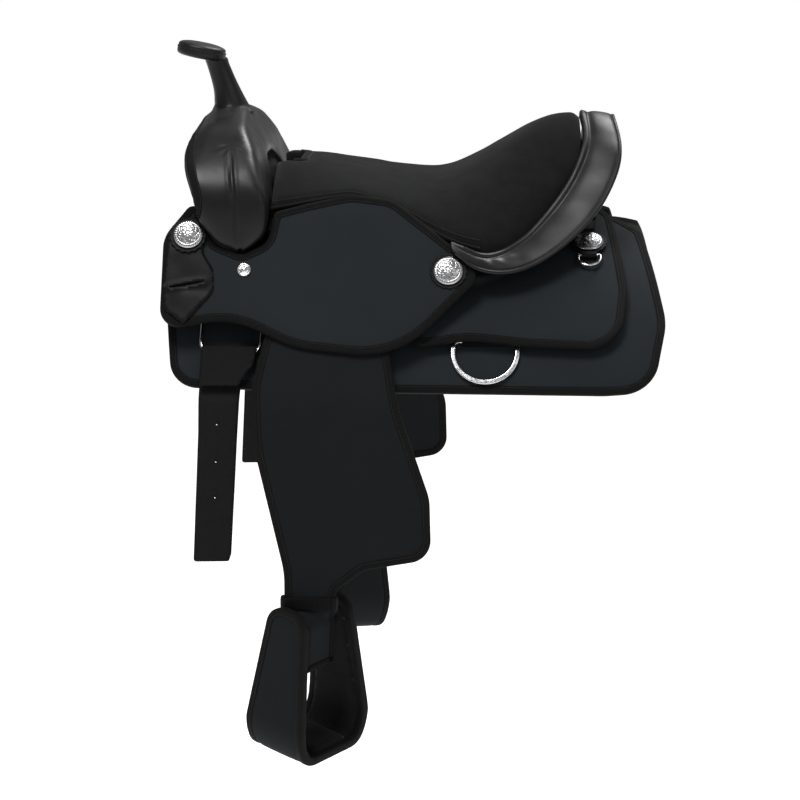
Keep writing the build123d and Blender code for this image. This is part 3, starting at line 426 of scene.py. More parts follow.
class Nodes:
    """Short calls that add texture nodes to a material."""

    def __init__(self, material):
        self.tree = material.node_tree
        self.shader = self.tree.nodes["Principled BSDF"]
        self.coords = self.tree.nodes.new("ShaderNodeTexCoord")
        self.height = None

    def join(self, a, b):
        self.tree.links.new(a, b)

    def noise(self, scale, detail=3.0, rough=0.55, coords="Object"):
        node = self.tree.nodes.new("ShaderNodeTexNoise")
        node.inputs["Scale"].default_value = scale
        node.inputs["Detail"].default_value = detail
        node.inputs["Roughness"].default_value = rough
        self.join(self.coords.outputs[coords], node.inputs["Vector"])
        return node.outputs["Fac"]

    def cells(self, scale, feature="DISTANCE_TO_EDGE", coords="Object"):
        node = self.tree.nodes.new("ShaderNodeTexVoronoi")
        node.feature = feature
        node.inputs["Scale"].default_value = scale
        self.join(self.coords.outputs[coords], node.inputs["Vector"])
        return node.outputs["Distance"]

    def wave(self, scale, axis, coords="UV", distortion=0.0):
        node = self.tree.nodes.new("ShaderNodeTexWave")
        node.bands_direction = axis
        node.inputs["Scale"].default_value = scale
        node.inputs["Distortion"].default_value = distortion
        self.join(self.coords.outputs[coords], node.inputs["Vector"])
        return node.outputs["Fac"]

    def maths(self, operation, a, b=0.5):
        node = self.tree.nodes.new("ShaderNodeMath")
        node.operation = operation
        for socket, value in zip(node.inputs, (a, b)):
            if isinstance(value, (int, float)):
                socket.default_value = value
            else:
                self.join(value, socket)
        return node.outputs[0]

    def between(self, value, low, high, out_low, out_high):
        node = self.tree.nodes.new("ShaderNodeMapRange")
        self.join(value, node.inputs["Value"])
        for socket, number in zip(("From Min", "From Max", "To Min", "To Max"), (low, high, out_low, out_high)):
            node.inputs[socket].default_value = number
        return node.outputs["Result"]

    def colour(self, value, low, high):
        """Base colour between two colours by a value from 0 to 1."""
        node = self.tree.nodes.new("ShaderNodeMix")
        node.data_type = "RGBA"
        self.join(value, node.inputs["Factor"])
        node.inputs["A"].default_value = (*low, 1)
        node.inputs["B"].default_value = (*high, 1)
        self.join(node.outputs["Result"], self.shader.inputs["Base Color"])

    def rough(self, value):
        self.join(value, self.shader.inputs["Roughness"])

    def bump(self, value, depth, strength=1.0):
        """Adds a bump of that depth, in metres, to those before it."""
        node = self.tree.nodes.new("ShaderNodeBump")
        node.inputs["Distance"].default_value = depth
        node.inputs["Strength"].default_value = strength
        self.join(value, node.inputs["Height"])
        if self.height is not None:
            self.join(self.height, node.inputs["Normal"])
        self.height = node.outputs["Normal"]
        self.join(self.height, self.shader.inputs["Normal"])


def make_cloth(name="panel_cloth", low=(0.0076, 0.0100, 0.0122), high=(0.0134, 0.0170, 0.0200)):
    """Neoprene with a fine knitted face."""
    material = new_material(name, high, 0.82, specular=0.14)
    n = Nodes(material)
    soft = n.noise(9.0, 3.0)
    fine = n.noise(1500.0, 2.0)
    n.colour(n.maths("ADD", n.maths("MULTIPLY", soft, 0.7), n.maths("MULTIPLY", fine, 0.35)), low, high)
    n.rough(n.between(fine, 0.3, 0.7, 0.72, 0.92))
    n.bump(n.cells(1100.0), 0.00012, 0.5)
    n.bump(fine, 0.00016, 0.5)
    n.bump(n.noise(70.0, 4.0), 0.0004, 0.35)
    return material


def make_binding():
    """Woven edge tape: ribs across it, a fine weave along it."""
    material = new_material("binding_tape", (0.0040, 0.0038, 0.0036), 0.78, specular=0.12)
    n = Nodes(material)
    ribs = n.wave(0.36, "X")
    weave = n.wave(0.42, "Y")
    mixed = n.maths("MULTIPLY", ribs, weave)
    worn = n.maths("ADD", mixed, n.maths("MULTIPLY", n.noise(160.0), 0.35))
    n.colour(worn, (0.0018, 0.0017, 0.0016), (0.0075, 0.0070, 0.0065))
    n.bump(ribs, 0.00035, 0.7)
    n.bump(weave, 0.0002, 0.5)
    n.bump(n.noise(400.0), 0.0003, 0.4)
    return material


def make_thread():
    material = new_material("stitching", (0.0035, 0.0035, 0.0037), 0.5, specular=0.3)
    n = Nodes(material)
    n.colour(n.noise(900.0), (0.003, 0.003, 0.0032), (0.010, 0.010, 0.0105))
    n.bump(n.noise(2600.0), 0.0001, 0.6)
    return material


def make_leather(name, colour=(0.0032, 0.0032, 0.0034), rough=(0.32, 0.48), grain=650.0, depth=0.00010,
                 specular=0.26):
    """Black finished leather: pebbled grain, soft creases, worn gloss."""
    material = new_material(name, colour, rough[0], specular=specular)
    n = Nodes(material)
    wear = n.noise(26.0, 5.0, 0.6)
    n.colour(wear, tuple(c * 0.75 for c in colour), tuple(c * 1.5 for c in colour))
    n.rough(n.between(wear, 0.3, 0.72, rough[0], rough[1]))
    n.bump(n.cells(grain), depth, 0.55)
    n.bump(n.noise(grain * 0.35, 4.0), depth * 1.6, 0.4)
    n.bump(n.noise(38.0, 3.0), 0.0006, 0.25)
    return material


def make_suede(name="suede"):
    """Napped suede with brushed patches."""
    material = new_material(name, (0.007, 0.007, 0.0072), 0.95, specular=0.06, sheen=0.07)
    n = Nodes(material)
    patches = n.noise(42.0, 5.0, 0.65)
    nap = n.noise(1300.0, 3.0)
    n.colour(n.maths("ADD", n.maths("MULTIPLY", patches, 0.9), n.maths("MULTIPLY", nap, 0.2)),
             (0.0018, 0.0019, 0.0019), (0.0105, 0.0110, 0.0108))
    n.bump(nap, 0.00035, 0.8)
    n.bump(patches, 0.0007, 0.5)
    return material


def make_webbing():
    """Heavy black nylon web."""
    material = new_material("nylon_web", (0.0030, 0.0030, 0.0032), 0.6, specular=0.12)
    n = Nodes(material)
    ribs = n.wave(0.34, "X")
    n.colour(n.noise(420.0), (0.0010, 0.0010, 0.0011), (0.0046, 0.0046, 0.0050))
    n.bump(ribs, 0.00035, 0.6)
    n.bump(n.noise(1600.0), 0.0002, 0.6)
    return material


def make_metal(name, colour, rough, recess=False):
    """Bright plated metal with fine scratches; engraved metal is darker in its recesses."""
    material = new_material(name, colour, rough, metallic=1.0)
    n = Nodes(material)
    scuffs = n.noise(240.0, 6.0, 0.7)
    n.rough(n.between(scuffs, 0.35, 0.75, rough * 0.7, rough * 1.8))
    if recess:
        node = n.tree.nodes.new("ShaderNodeAttribute")
        node.attribute_name = "recess"
        n.colour(node.outputs["Fac"], colour, (0.02, 0.02, 0.02))
    else:
        n.colour(scuffs, tuple(c * 0.9 for c in colour), colour)
    n.bump(scuffs, 0.00008, 0.3)
    return material


def make_fleece():
    material = new_material("fleece", (0.62, 0.55, 0.43), 0.95, specular=0.1, sheen=0.35)
    n = Nodes(material)
    curls = n.noise(220.0, 5.0, 0.7)
    n.colour(curls, (0.42, 0.36, 0.27), (0.78, 0.72, 0.60))
    n.bump(curls, 0.0022, 0.8)
    return material


def make_plastic():
    material = new_material("tree_plastic", (0.012, 0.012, 0.013), 0.5)
    n = Nodes(material)
    n.colour(n.noise(30.0), (0.009, 0.009, 0.010), (0.018, 0.018, 0.019))
    n.bump(n.noise(700.0), 0.0002, 0.5)
    return material


CLOTH, BINDING, THREAD = make_cloth(), make_binding(), make_thread()
# Painted shade: a darker copy of the panel cloth for the pieces that hang plumb (the fender, its tail and the
# stirrup), which face less of the light from above.
SHADED_CLOTH = make_cloth("painted_shade_cloth", (0.0032, 0.0044, 0.0052), (0.0062, 0.0080, 0.0092))
LEATHER = make_leather("smooth_leather")
TOOLED = make_leather("tooled_leather", (0.0030, 0.0028, 0.0028), (0.42, 0.62), 480.0, 0.00016, 0.12)
STRAP = make_leather("strap_leather", (0.0034, 0.0031, 0.0030), (0.46, 0.66), 420.0, 0.00014, 0.12)
SUEDE, WEB, FLEECE, PLASTIC = make_suede(), make_webbing(), make_fleece(), make_plastic()
ENGRAVED = make_metal("engraved_metal", (0.50, 0.50, 0.51), 0.26, recess=True)
NICKEL = make_metal("dee_metal", (0.62, 0.62, 0.63), 0.16)
BUCKLE = make_metal("buckle_metal", (0.55, 0.55, 0.56), 0.24)

FINISHES = {
    "tree_plastic": PLASTIC, "horn_steel": BUCKLE, "buckle_metal": BUCKLE, "dee_metal": NICKEL,
    "engraved_metal": ENGRAVED, "smooth_leather": LEATHER, "tooled_leather": TOOLED, "strap_leather": STRAP,
    "suede": SUEDE, "panel_cloth": CLOTH, "stirrup_cloth": SHADED_CLOTH, "binding_tape": BINDING,
    "fleece": FLEECE, "nylon_web": WEB,
}


def finish_cad_nodes():
    """Gives every carried CAD node the procedural material of its slot."""
    of_node = {}
    for material in frame["record"]["materials"]:
        for node in material.get("nodes", []):
            of_node[node] = material["slot"]
    for name, obj in frame["nodes"].items():
        slot = of_node.get(name)
        for k in range(len(obj.material_slots)):
            given = obj.material_slots[k].material
            found = slot or (given.name if given else "")
            found = next((s for s in FINISHES if found.startswith(s)), "strap_leather")
            obj.material_slots[k].material = FINISHES[found]


finish_cad_nodes()


# ---- bound cloth panels ----
def tape_profile(thick):
    """The binding's section: (distance in from the edge, height over the panel's face)."""
    w, low = TAPE_W, -thick
    return [
        (w, -0.1), (w - 0.3, 0.75), (w - 1.4, 0.95), (w - 2.2, 0.6), (w - 3.0, 0.95), (4.0, 1.15), (1.6, 1.0),
        (0.3, 0.5), (-0.5, -0.5), (-0.7, (low - 0.2) / 2), (-0.5, low + 0.3), (0.3, low - 0.45),
        (1.6, low - 0.65), (w - 0.3, low - 0.65), (w, low - 0.1), (w - 0.6, low / 2),
    ]


def bound_panel(name, outline, thick, nodes, body="saddle", blend=None, puff=1.1, wave=0.7, spacing=6.0,
                material=CLOTH, tape_nodes=()):
    """A cloth panel on its layer, the tape round its edge and the stitches in the tape."""
    layer = outline.layer
    flat, tris = triangulate([outline.loop(1.2)], spacing)
    d = distance(flat, outline.rim)
    base = layer.place(flat[:, 0], flat[:, 1], 0 * d)
    swell = puff * smooth((d - TAPE_W + 2) / 9.0) * (0.75 + 0.25 * smooth(d / 60.0))
    roll = wobble(base, 62.0, wave, 3.1) * smooth(d / 26.0) + wobble(base, 21.0, wave * 0.22, 7.7)
    top = layer.place(flat[:, 0], flat[:, 1], swell + roll)
    bottom = layer.place(flat[:, 0], flat[:, 1], -thick + 0 * d)
    verts, faces = closed_panel(flat, tris, top, bottom)
    add_pair(name, verts, faces, material, body, blend, nodes)
    profile = tape_profile(thick)
    gather = wobble(outline.place(0.0, 0.0), 5.5, 0.22, 1.7)
    rings = np.stack([outline.place(inset, lift) for inset, lift in profile], 1)
    out = outline.place(0.0, 1.0) - outline.place(0.0, 0.0)
    rings += (out * gather[:, None])[:, None]
    verts, faces, uv = sweep(rings, closed=True)
    add_pair(f"{name}_binding", verts, faces, BINDING, body, blend, tape_nodes, uv)
    seam = outline.place(TAPE_W - 2.2, 0.78)
    verts, faces = stitch_mesh(seam, out)
    add_pair(f"{name}_stitches", verts, faces, THREAD, body, blend)


def bound_panels():
    bound_panel("skirt_cloth", Outline(SKIRT_EDGE, Drape(SKIRT_R)), 5.4, ["skirt_{}"])
    bound_panel("rear_jockey_cloth", Outline(REAR_JOCKEY_EDGE, Drape(REAR_JOCKEY_R)), 4.8, ["rear_jockey_{}"])
    bound_panel("seat_jockey_cloth", Outline(JOCKEY_EDGE, Flat(JOCKEY_RHO)), 5.0, ["seat_jockey_{}"], puff=1.3)
    hang = Hang(FENDER_RHO)
    above, below = hang.place(0.0, -6.0, 0.0), hang.place(0.0, 44.0, 0.0)
    across = ("hanger_{}", "fender_{}", above, below)
    nodes = ["fender_top_{}", "fender_{}"]
    # The fender takes the cloth with painted shade.
    bound_panel("fender_cloth", Outline(FENDER_EDGE, hang), FENDER_T, nodes, blend=across, puff=1.3, wave=1.6,
                tape_nodes=["fender_binding_{}"], material=SHADED_CLOTH)
    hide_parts("panel_bindings")


def frame_points(origin, x_axis, y_axis, points):
    """Points of a small flat-lying frame (x, y, height) in the row frame."""
    x_axis, y_axis = np.array(x_axis, float), np.array(y_axis, float)
    up = np.cross(x_axis, y_axis)
    points = np.asarray(points)
    return origin + points[..., :1] * x_axis + points[..., 1:2] * y_axis + points[..., 2:] * up


def evaluated(obj):
    """A plain mesh of an object with its modifiers, in mm, and the object removed."""
    graph = bpy.context.evaluated_depsgraph_get()
    mesh = bpy.data.meshes.new_from_object(obj.evaluated_get(graph))
    co = np.zeros(len(mesh.vertices) * 3)
    mesh.vertices.foreach_get("co", co)
    faces = [tuple(p.vertices) for p in mesh.polygons]
    bpy.data.objects.remove(obj)
    bpy.data.meshes.remove(mesh)
    return co.reshape(-1, 3) / MM, faces


def vertex_normals(verts, faces):
    """Area-weighted normals."""
    normal = np.zeros_like(verts)
    quads = np.array([f if len(f) == 4 else (*f, f[-1]) for f in faces])
    cross = np.cross(verts[quads[:, 2]] - verts[quads[:, 0]], verts[quads[:, 3]] - verts[quads[:, 1]])
    cross[(quads[:, 2] == quads[:, 3])] = np.cross(
        verts[quads[:, 1]] - verts[quads[:, 0]], verts[quads[:, 2]] - verts[quads[:, 0]]
    )[(quads[:, 2] == quads[:, 3])]
    for k in range(4):
        np.add.at(normal, quads[:, k], cross)
    return normal / np.maximum(np.linalg.norm(normal, axis=1), 1e-9)[:, None]


class Surface:
    """Finds points on a finished piece by looking at it along a line."""

    def __init__(self, verts, faces):
        self.tree = BVHTree.FromPolygons([tuple(v) for v in verts], faces)

    def hit(self, origin, way):
        spot, normal, _, _ = self.tree.ray_cast(Vector(origin), Vector(way).normalized())
        return None if spot is None else (np.array(spot), np.array(normal))

    def line(self, origins, way):
        found = [self.hit(o, way) for o in origins]
        found = [f for f in found if f]
        return np.array([f[0] for f in found]), np.array([f[1] for f in found])


# ---- fork ----
FORK_SEAM = ((120, -203), (60, -194), (0, -188), (-24, -187))  # (z, x) down the near lobe
FORK_NODES = ["tree_fork", "fork_cover"]
FORK_CROWN, CROWN_FROM = 161.0, 100.0  # height of the leather at the horn, and where it starts to fall
FORK_SWELL, REAR_DRAWN, FRONT_DRAWN, FRONT_DROP = 2.6, 17.0, 7.5, 5.0
FORK_TAPE = ((2.0, 0.2), (3.0, 1.1), (6.0, 1.3), (9.5, 1.1), (12.0, 1.2), (13.4, 0.1))  # from the edge, lift


SEAM_TOP = 126.0
GULLET_Z, GULLET_BACK = 62.0, -215.0


def seam_x(z):
    return np.interp(-z, [-p[0] for p in FORK_SEAM], [p[1] for p in FORK_SEAM])


def fork_block():
    """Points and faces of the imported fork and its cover, run together and relaxed."""
    joined = bpy.data.meshes.new("fork_block")
    verts, faces = [], []
    for name in FORK_NODES:
        mesh = frame["nodes"][name].data
        start = len(verts)
        verts += [v.co[:] for v in mesh.vertices]
        faces += [tuple(start + i for i in p.vertices) for p in mesh.polygons]
    joined.from_pydata(verts, [], faces)
    block = bpy.data.objects.new("fork_block", joined)
    bpy.context.scene.collection.objects.link(block)
    remesh = block.modifiers.new("remesh", "REMESH")
    remesh.mode, remesh.voxel_size = "VOXEL", 0.0027
    relax = block.modifiers.new("relax", "SMOOTH")
    relax.factor, relax.iterations = 0.6, 55
    return evaluated(block)


def round_fork(v, f):
    """Lowers the crown, and draws in the upper edges behind and in front."""
    v = v + vertex_normals(v, f) * FORK_SWELL
    crown = v[np.abs(v[:, 1]) < 12, 2].max()
    over = np.maximum(v[:, 2] - CROWN_FROM, 0) / (crown - CROWN_FROM)
    v[:, 2] -= over**2 * (crown - FORK_CROWN)
    x, y, z = v.T.copy()
    v[:, 0] -= REAR_DRAWN * smooth((z - 40) / 90) * smooth((x + 222) / 55)
    v[:, 0] += FRONT_DRAWN * smooth((z - 20) / 40) * smooth((-232 - x) / 22)
    v[:, 2] -= FRONT_DROP * smooth((-226 - x) / 34) * smooth((z - 95) / 50)
    return v


def make_fork():
    """Glossy leather pulled over the fork: round lobes, a gathered seam, a bound front edge."""
    v, f = fork_block()
    v = round_fork(v, f)
    n = vertex_normals(v, f)
    x, y, z = v.T
    lobe = smooth((np.abs(y) - 120) / 30)
    dx = x - seam_x(z)
    low = smooth((SEAM_TOP - 4 - z) / 20)
    groove = 2.2 * np.exp(-((dx / 1.7) ** 2))
    banks = 0.9 * np.exp(-(((np.abs(dx) - 4.5) / 2.6) ** 2))
    v = v - n * (lobe * low * (groove - banks))[:, None]
    spread, reach = np.arctan2(dx, SEAM_TOP - z), np.hypot(dx, SEAM_TOP - z)
    pucker = np.sin(spread * 11) * np.exp(-(((reach - 9) / 7) ** 2))
    v = v + n * (0.4 * pucker * lobe)[:, None]
    v = v + n * wobble(v, 34.0, 0.7, 5.0)[:, None] * lobe[:, None]
    fork = add_piece("fork_leather", v, f, LEATHER)
    settle(fork, "saddle", stands_for=FORK_NODES)
    surface = Surface(v, f)
    for name, shift in (("front", -4.4), ("rear", 4.4)):
        spots = [(seam_x(h) + shift, -400.0, h) for h in np.arange(96, -20, -3.0)]
        line, normals = surface.line(spots, (0, 1, 0))
        points, threads = stitch_mesh(line + normals * 0.15, normals, closed=False, pitch=3.2)
        add_pair(f"fork_stitches_{name}", points, threads, THREAD)
    bind_fork_front(surface)
    return surface


def fork_edge(surface, way):
    """Front-most x of the fork, looking in along a line square to its length."""
    for x in np.arange(-276.0, -200.0, 1.0):
        if surface.hit(np.array((x, 0, GULLET_Z)) + way * 420, -way):
            return x
    return None


def bind_fork_front(surface):
    """Textile tape over the fork's front edge, foot to foot, and the cloth panel inside it."""
    angles = np.linspace(math.radians(-14), math.radians(194), 120)
    ways = [np.array((0.0, math.cos(a), math.sin(a))) for a in angles]
    edges = [fork_edge(surface, way) for way in ways]
    ways = [w for w, e in zip(ways, edges) if e is not None]
    edges = np.array([e for e in edges if e is not None])
    edges = np.convolve(np.pad(edges, 3, mode="edge"), np.ones(7) / 7, mode="valid")
    rings, normals = [], []
    for way, edge in zip(ways, edges):
        row, lifts = [], []
        for across, lift in FORK_TAPE:
            found = surface.hit(np.array((edge + across, 0, GULLET_Z)) + way * 420, -way)
            if found is None:
                break
            row.append(found[0] + found[1] * lift)
            lifts.append(found[1])
        if len(row) == len(FORK_TAPE):
            rings.append(row)
            normals.append(lifts)
    rings, normals = np.array(rings), np.array(normals)
    under = rings[:, ::-1] - normals[:, ::-1] * 1.6
    verts, faces, uv = sweep(np.concatenate([rings, under], 1), closed=False, caps=True)
    tape = add_piece("fork_front_tape", verts, faces, BINDING, uv)
    settle(tape, "saddle")
    points, threads = stitch_mesh(rings[:, 4], normals[:, 4], closed=False)
    settle(add_piece("fork_front_stitches", points, threads, THREAD), "saddle")
    line_gullet(surface, rings[:, 0])


def resample(points, count):
    """That many points, evenly spaced by number, along a row."""
    points = np.array(points)
    pick = np.linspace(0, len(points) - 1, count)
    return np.stack([np.interp(pick, range(len(points)), points[:, c]) for c in range(3)], 1)


def line_gullet(surface, rim):
    """Cloth over the front of the fork, from the tape's edge in to the gullet's arch."""
    middle = np.array((0.0, 0.0, GULLET_Z))
    rows, lifts = [], []
    for spot in rim:
        out = (spot - middle) * (0, 1, 1)
        row, lift = [], []
        for share in np.linspace(1.02, 0.35, 44):
            place = middle + out * share
            found = surface.hit(place - (360.0, 0, 0), (1, 0, 0))
            if found is None or found[0][0] > GULLET_BACK:
                continue
            row.append(found[0])
            lift.append(found[1])
        if len(row) > 5:
            rows.append(resample(row, 16))
            lifts.append(resample(lift, 16))
    rows, lifts = np.array(rows), np.array(lifts)
    swell = 0.5 + 1.6 * np.sin(np.linspace(0, math.pi, rows.shape[1]))[None, :, None]
    top, under = rows + lifts * swell, (rows - lifts * 1.2)[:, ::-1]
    verts, faces, uv = sweep(np.concatenate([top, under], 1), closed=False, caps=True)
    panel = add_piece("gullet_cloth", verts, faces, CLOTH, uv)
    settle(panel, "saddle", stands_for=["gullet_cover"])
    add_tube("gullet_piping", top[:, -1], 2.2, BINDING)


# ---- horn ----
HORN_FOOT_X, HORN_HEAD = -218.0, np.array((-237.0, 0, 217.0))
CAP_AT, CAP_UP = np.array((-256.0, 0, 218)), np.array((0.196, 0, 0.981))
NECK_L = 53.0
NECK = (  # distance up a neck of that length, half widths along X and Y
    (-11, 30, 32), (-6, 26, 28), (-3, 23.2, 24.5), (-0.5, 21.8, 22.6), (1.5, 21, 21.6), (3.5, 20.6, 20.8),
    (8, 18.8, 19), (15, 16.6, 17), (23, 15, 15.4), (31, 14.2, 14.4), (39, 13.6, 13.8), (47, 13.8, 13.6),
    (54, 15.5, 15), (58, 16.5, 16),
)
CAP_HALF = (30.0, 28.0)  # along X, along Y
CAP_PROFILE = (  # share of the half widths, height
    (0.10, 0.4), (0.45, 0.2), (0.80, -0.2), (0.93, 0.5), (0.99, 2.4), (1.0, 4.5), (1.005, 8.0), (1.0, 10.6),
    (0.972, 11.4), (0.985, 12.3), (0.975, 13.6), (0.93, 15.2), (0.84, 16.4), (0.68, 17.3), (0.45, 17.8),
    (0.12, 18.0),
)


def ring_about(centre, normal, half_x, half_y, count=48):
    """An oval of points about a centre, square to a normal that lies in the XZ plane."""
    normal = normal / np.linalg.norm(normal)
    along = np.array((normal[2], 0, -normal[0]))
    a = np.linspace(0, 2 * math.pi, count, endpoint=False)
    return centre + np.outer(np.cos(a) * half_x, along) + np.outer(np.sin(a) * half_y, (0, 1, 0))


def make_horn(fork):
    """Leather-wrapped neck that flares on to the fork, and a padded cap with a stitched rim."""
    foot = fork.hit((HORN_FOOT_X, 0, 400.0), (0, 0, -1))[0]
    height = np.linalg.norm(HORN_HEAD - foot)
    axis = (HORN_HEAD - foot) / height
    rings = []
    for s, half_x, half_y in NECK:
        s = s * height / NECK_L if s > 4 else s
        low, high = smooth(s / 30), smooth((s - height + 18) / 20)
        normal = (axis * low + np.array((0.03, 0, 1)) * (1 - low)) * (1 - high) + CAP_UP * high
        rings.append(ring_about(foot + axis * s, normal, half_x, half_y))
    rings = np.array(rings)
    middle = rings.mean(1, keepdims=True)
    folds = 1 + 0.012 * np.sin(np.linspace(0, 2 * math.pi, 48, endpoint=False) * 7)[None, :, None]
    verts, faces, uv = sweep(middle + (rings - middle) * folds, closed=False, caps=True)
    neck = add_piece("horn_neck", verts, faces, LEATHER, uv)
    neck.modifiers.new("smooth", "SUBSURF").render_levels = 1
    settle(neck, "saddle", stands_for=["horn_wrap"])
    half_x, half_y = CAP_HALF
    rings = [ring_about(CAP_AT + CAP_UP * h, CAP_UP, half_x * r, half_y * r, 64) for r, h in CAP_PROFILE]
    verts, faces, uv = sweep(rings, closed=False, caps=True)
    verts = verts + wobble(verts, 18.0, 0.35, 2.2)[:, None] * CAP_UP
    cap = add_piece("horn_cap_leather", verts, faces, LEATHER, uv)
    cap.modifiers.new("smooth", "SUBSURF").render_levels = 1
    settle(cap, "saddle", stands_for=["horn_cap"])
    seam = ring_about(CAP_AT + CAP_UP * 9.4, CAP_UP, CAP_HALF[0] * 1.008, CAP_HALF[1] * 1.008, 96)
    normals = seam - seam.mean(0)
    points, threads = stitch_mesh(seam, normals, pitch=3.0)
    settle(add_piece("horn_cap_stitches", points, threads, THREAD), "saddle")


# ---- seat ----
# stations: x, height of the middle, half width, height of the edge, share of the crown half-way out
SEAT = np.array([
    (-158, 104, 150, 52, 0.76), (-110, 98, 148, 61, 0.76), (-60, 90, 146, 69, 0.76), (-5, 82, 155, 53, 0.76),
    (40, 79, 168, 28, 0.76), (70, 90, 176, 16, 0.74), (104, 109, 168, 6, 0.70), (125, 122, 155, 10, 0.67),
    (146, 136, 140, 24, 0.64), (167, 146, 121, 46, 0.62), (188, 151, 101, 72, 0.60), (204, 152, 77, 99, 0.60),
])
SEAT_X = np.arange(-170.0, 221.0, 1.0)
SEAT_FRONT, SEAT_REAR = -156.0, 204.0
HAND_HOLE_X, HAND_HOLE_HALF = -125.0, 49.0


def station_curve(column, width):
    """One of the seat's sizes along X, eased between the stations."""
    values = np.interp(SEAT_X, SEAT[:, 0], column)
    reach = np.arange(-30, 31)
    weight = np.exp(-0.5 * (reach / width) ** 2)
    return np.convolve(np.pad(values, 30, mode="edge"), weight / weight.sum(), mode="valid")


SEAT_MID, SEAT_HALF = station_curve(SEAT[:, 1], 11), station_curve(SEAT[:, 2], 8)
SEAT_EDGE, SEAT_POWER = station_curve(SEAT[:, 3], 8), station_curve(-np.log2(1 - SEAT[:, 4]), 8)


def seat_height(x, y):
    middle, half = np.interp(x, SEAT_X, SEAT_MID), np.interp(x, SEAT_X, SEAT_HALF)
    edge, power = np.interp(x, SEAT_X, SEAT_EDGE), np.interp(x, SEAT_X, SEAT_POWER)
    out = (np.sqrt(y**2 + 144) - 12) / np.maximum(half - 11.5, 1)
    return edge + (middle - edge) * (1 - np.clip(out, 0, 1.02) ** power)


def seat_loop():
    """The seat's outline from above, with the hand hole let into its front edge."""
    side_x = np.arange(SEAT_FRONT, SEAT_REAR + 0.1, 4.0)
    near = [(x, -np.interp(x, SEAT_X, SEAT_HALF) + 1) for x in side_x]
    rear = [(208, -66), (211, -54), (212, -40), (211, -20), (210, 0)]
    rear += [(x, -y) for x, y in rear[-2::-1]]
    off = [(x, -y) for x, y in reversed(near)]
    turn, corner = 12.0, []
    for k in range(7):
        a = math.radians(15 * k)
        corner.append((HAND_HOLE_X - turn + turn * math.sin(a), HAND_HOLE_HALF - turn + turn * math.cos(a)))
    hole_off = [(SEAT_FRONT, HAND_HOLE_HALF), (-146, HAND_HOLE_HALF), *corner]
    across = [(HAND_HOLE_X, y) for y in np.arange(30, -31, -6.0)]
    hole_near = [(x, -y) for x, y in reversed(hole_off)]
    front_off = [(SEAT_FRONT, y) for y in np.arange(140, HAND_HOLE_HALF + 2, -6.0)]
    front_near = [(x, -y) for x, y in reversed(front_off)]
    return np.array(near + rear + off + front_off + hole_off + across + hole_near + front_near), np.array(
        hole_off + across + hole_near
    )


def make_seat():
    """Padded suede seat; its edge rolls into the hand hole and tucks down on the jockeys."""
    loop, hole = seat_loop()
    flat, tris = triangulate([loop], 6.0)
    x, y = flat.T
    d = distance(flat, loop)
    z = seat_height(x, y)
    base = np.stack([x, y, z], 1)
    tuck = 5.5 * np.exp(-((d / 5.0) ** 2)) + 2.0 * np.exp(-((d / 14.0) ** 2))
    soft = wobble(base, 70.0, 1.8, 4.4) + wobble(base, 24.0, 0.7, 8.8)
    top = base + np.array((0, 0, 1.0)) * (2.4 - tuck + soft * smooth(d / 20))[:, None]
    bottom = base - np.array((0, 0, 15.0))
    verts, faces = closed_panel(flat, tris, top, bottom)
    seat = add_piece("seat_suede", verts, faces, SUEDE)
    settle(seat, "saddle", stands_for=["seat"])
    rim = np.stack([hole[:, 0], hole[:, 1], seat_height(hole[:, 0], hole[:, 1]) - 3.0], 1)
    add_tube("hand_hole_roll", rim[2:-2], 5.2, SUEDE, flat=0.9)
    for side, sign in SIDES:
        xs = np.arange(SEAT_FRONT, 94.0, 4.0)
        half, edge = np.interp(xs, SEAT_X, SEAT_HALF), np.interp(xs, SEAT_X, SEAT_EDGE)
        seam = np.stack([xs, -sign * (half + 0.5), edge - 1.5], 1)
        add_tube(f"seat_piping_{side}", seam, 2.0, SUEDE)
        upper = np.stack([xs, -sign * (half - 6.5), seat_height(xs, half - 6.5) + 1.2], 1)
        normals = np.stack([0 * xs, -sign * (0.6 + 0 * xs), 0.8 + 0 * xs], 1)
        points, threads = stitch_mesh(upper, normals, closed=False)
        settle(add_piece(f"seat_stitches_{side}", points, threads, THREAD), "saddle")


def add_tube(name, line, radius, material, body="saddle", closed=False, flat=1.0, count=12):
    """A round or flattened tube along a line of points, its ends closed."""
    line = np.asarray(line, float)
    way = (np.roll(line, -1, 0) - np.roll(line, 1, 0)) if closed else np.gradient(line, axis=0)
    way /= np.linalg.norm(way, axis=1)[:, None]
    up = np.array((0.02, 0.03, 1.0))
    across = np.cross(way, up)
    across /= np.linalg.norm(across, axis=1)[:, None]
    rise = np.cross(across, way)
    a = np.linspace(0, 2 * math.pi, count, endpoint=False)
    radius = np.broadcast_to(radius, len(line))
    rings = line[:, None] + radius[:, None, None] * (
        np.cos(a)[None, :, None] * across[:, None] + flat * np.sin(a)[None, :, None] * rise[:, None]
    )
    verts, faces, uv = sweep(rings, closed=closed, caps=True)
    return settle(add_piece(name, verts, faces, material, uv), body)


# ---- cantle roll ----
ROLL = (
    ((210, 0, 153), (252, 0, 150)), ((214, -50, 127), (259, -60, 123)), ((205, -80, 97), (256, -92, 96)),
    ((188, -105, 68), (241, -120, 64)), ((167, -125, 42), (222, -141, 40)), ((146, -143, 21), (198, -160, 18)),
    ((125, -158, 8), (172, -176, 0)), ((108, -169, 3), (142, -188, -13)), ((93, -177, 4), (112, -195, -16)),
    ((75, -184, 12), (83, -199, -7)), ((59, -186, 20), (61, -197, 12)),
)
ROLL_T = 12.0


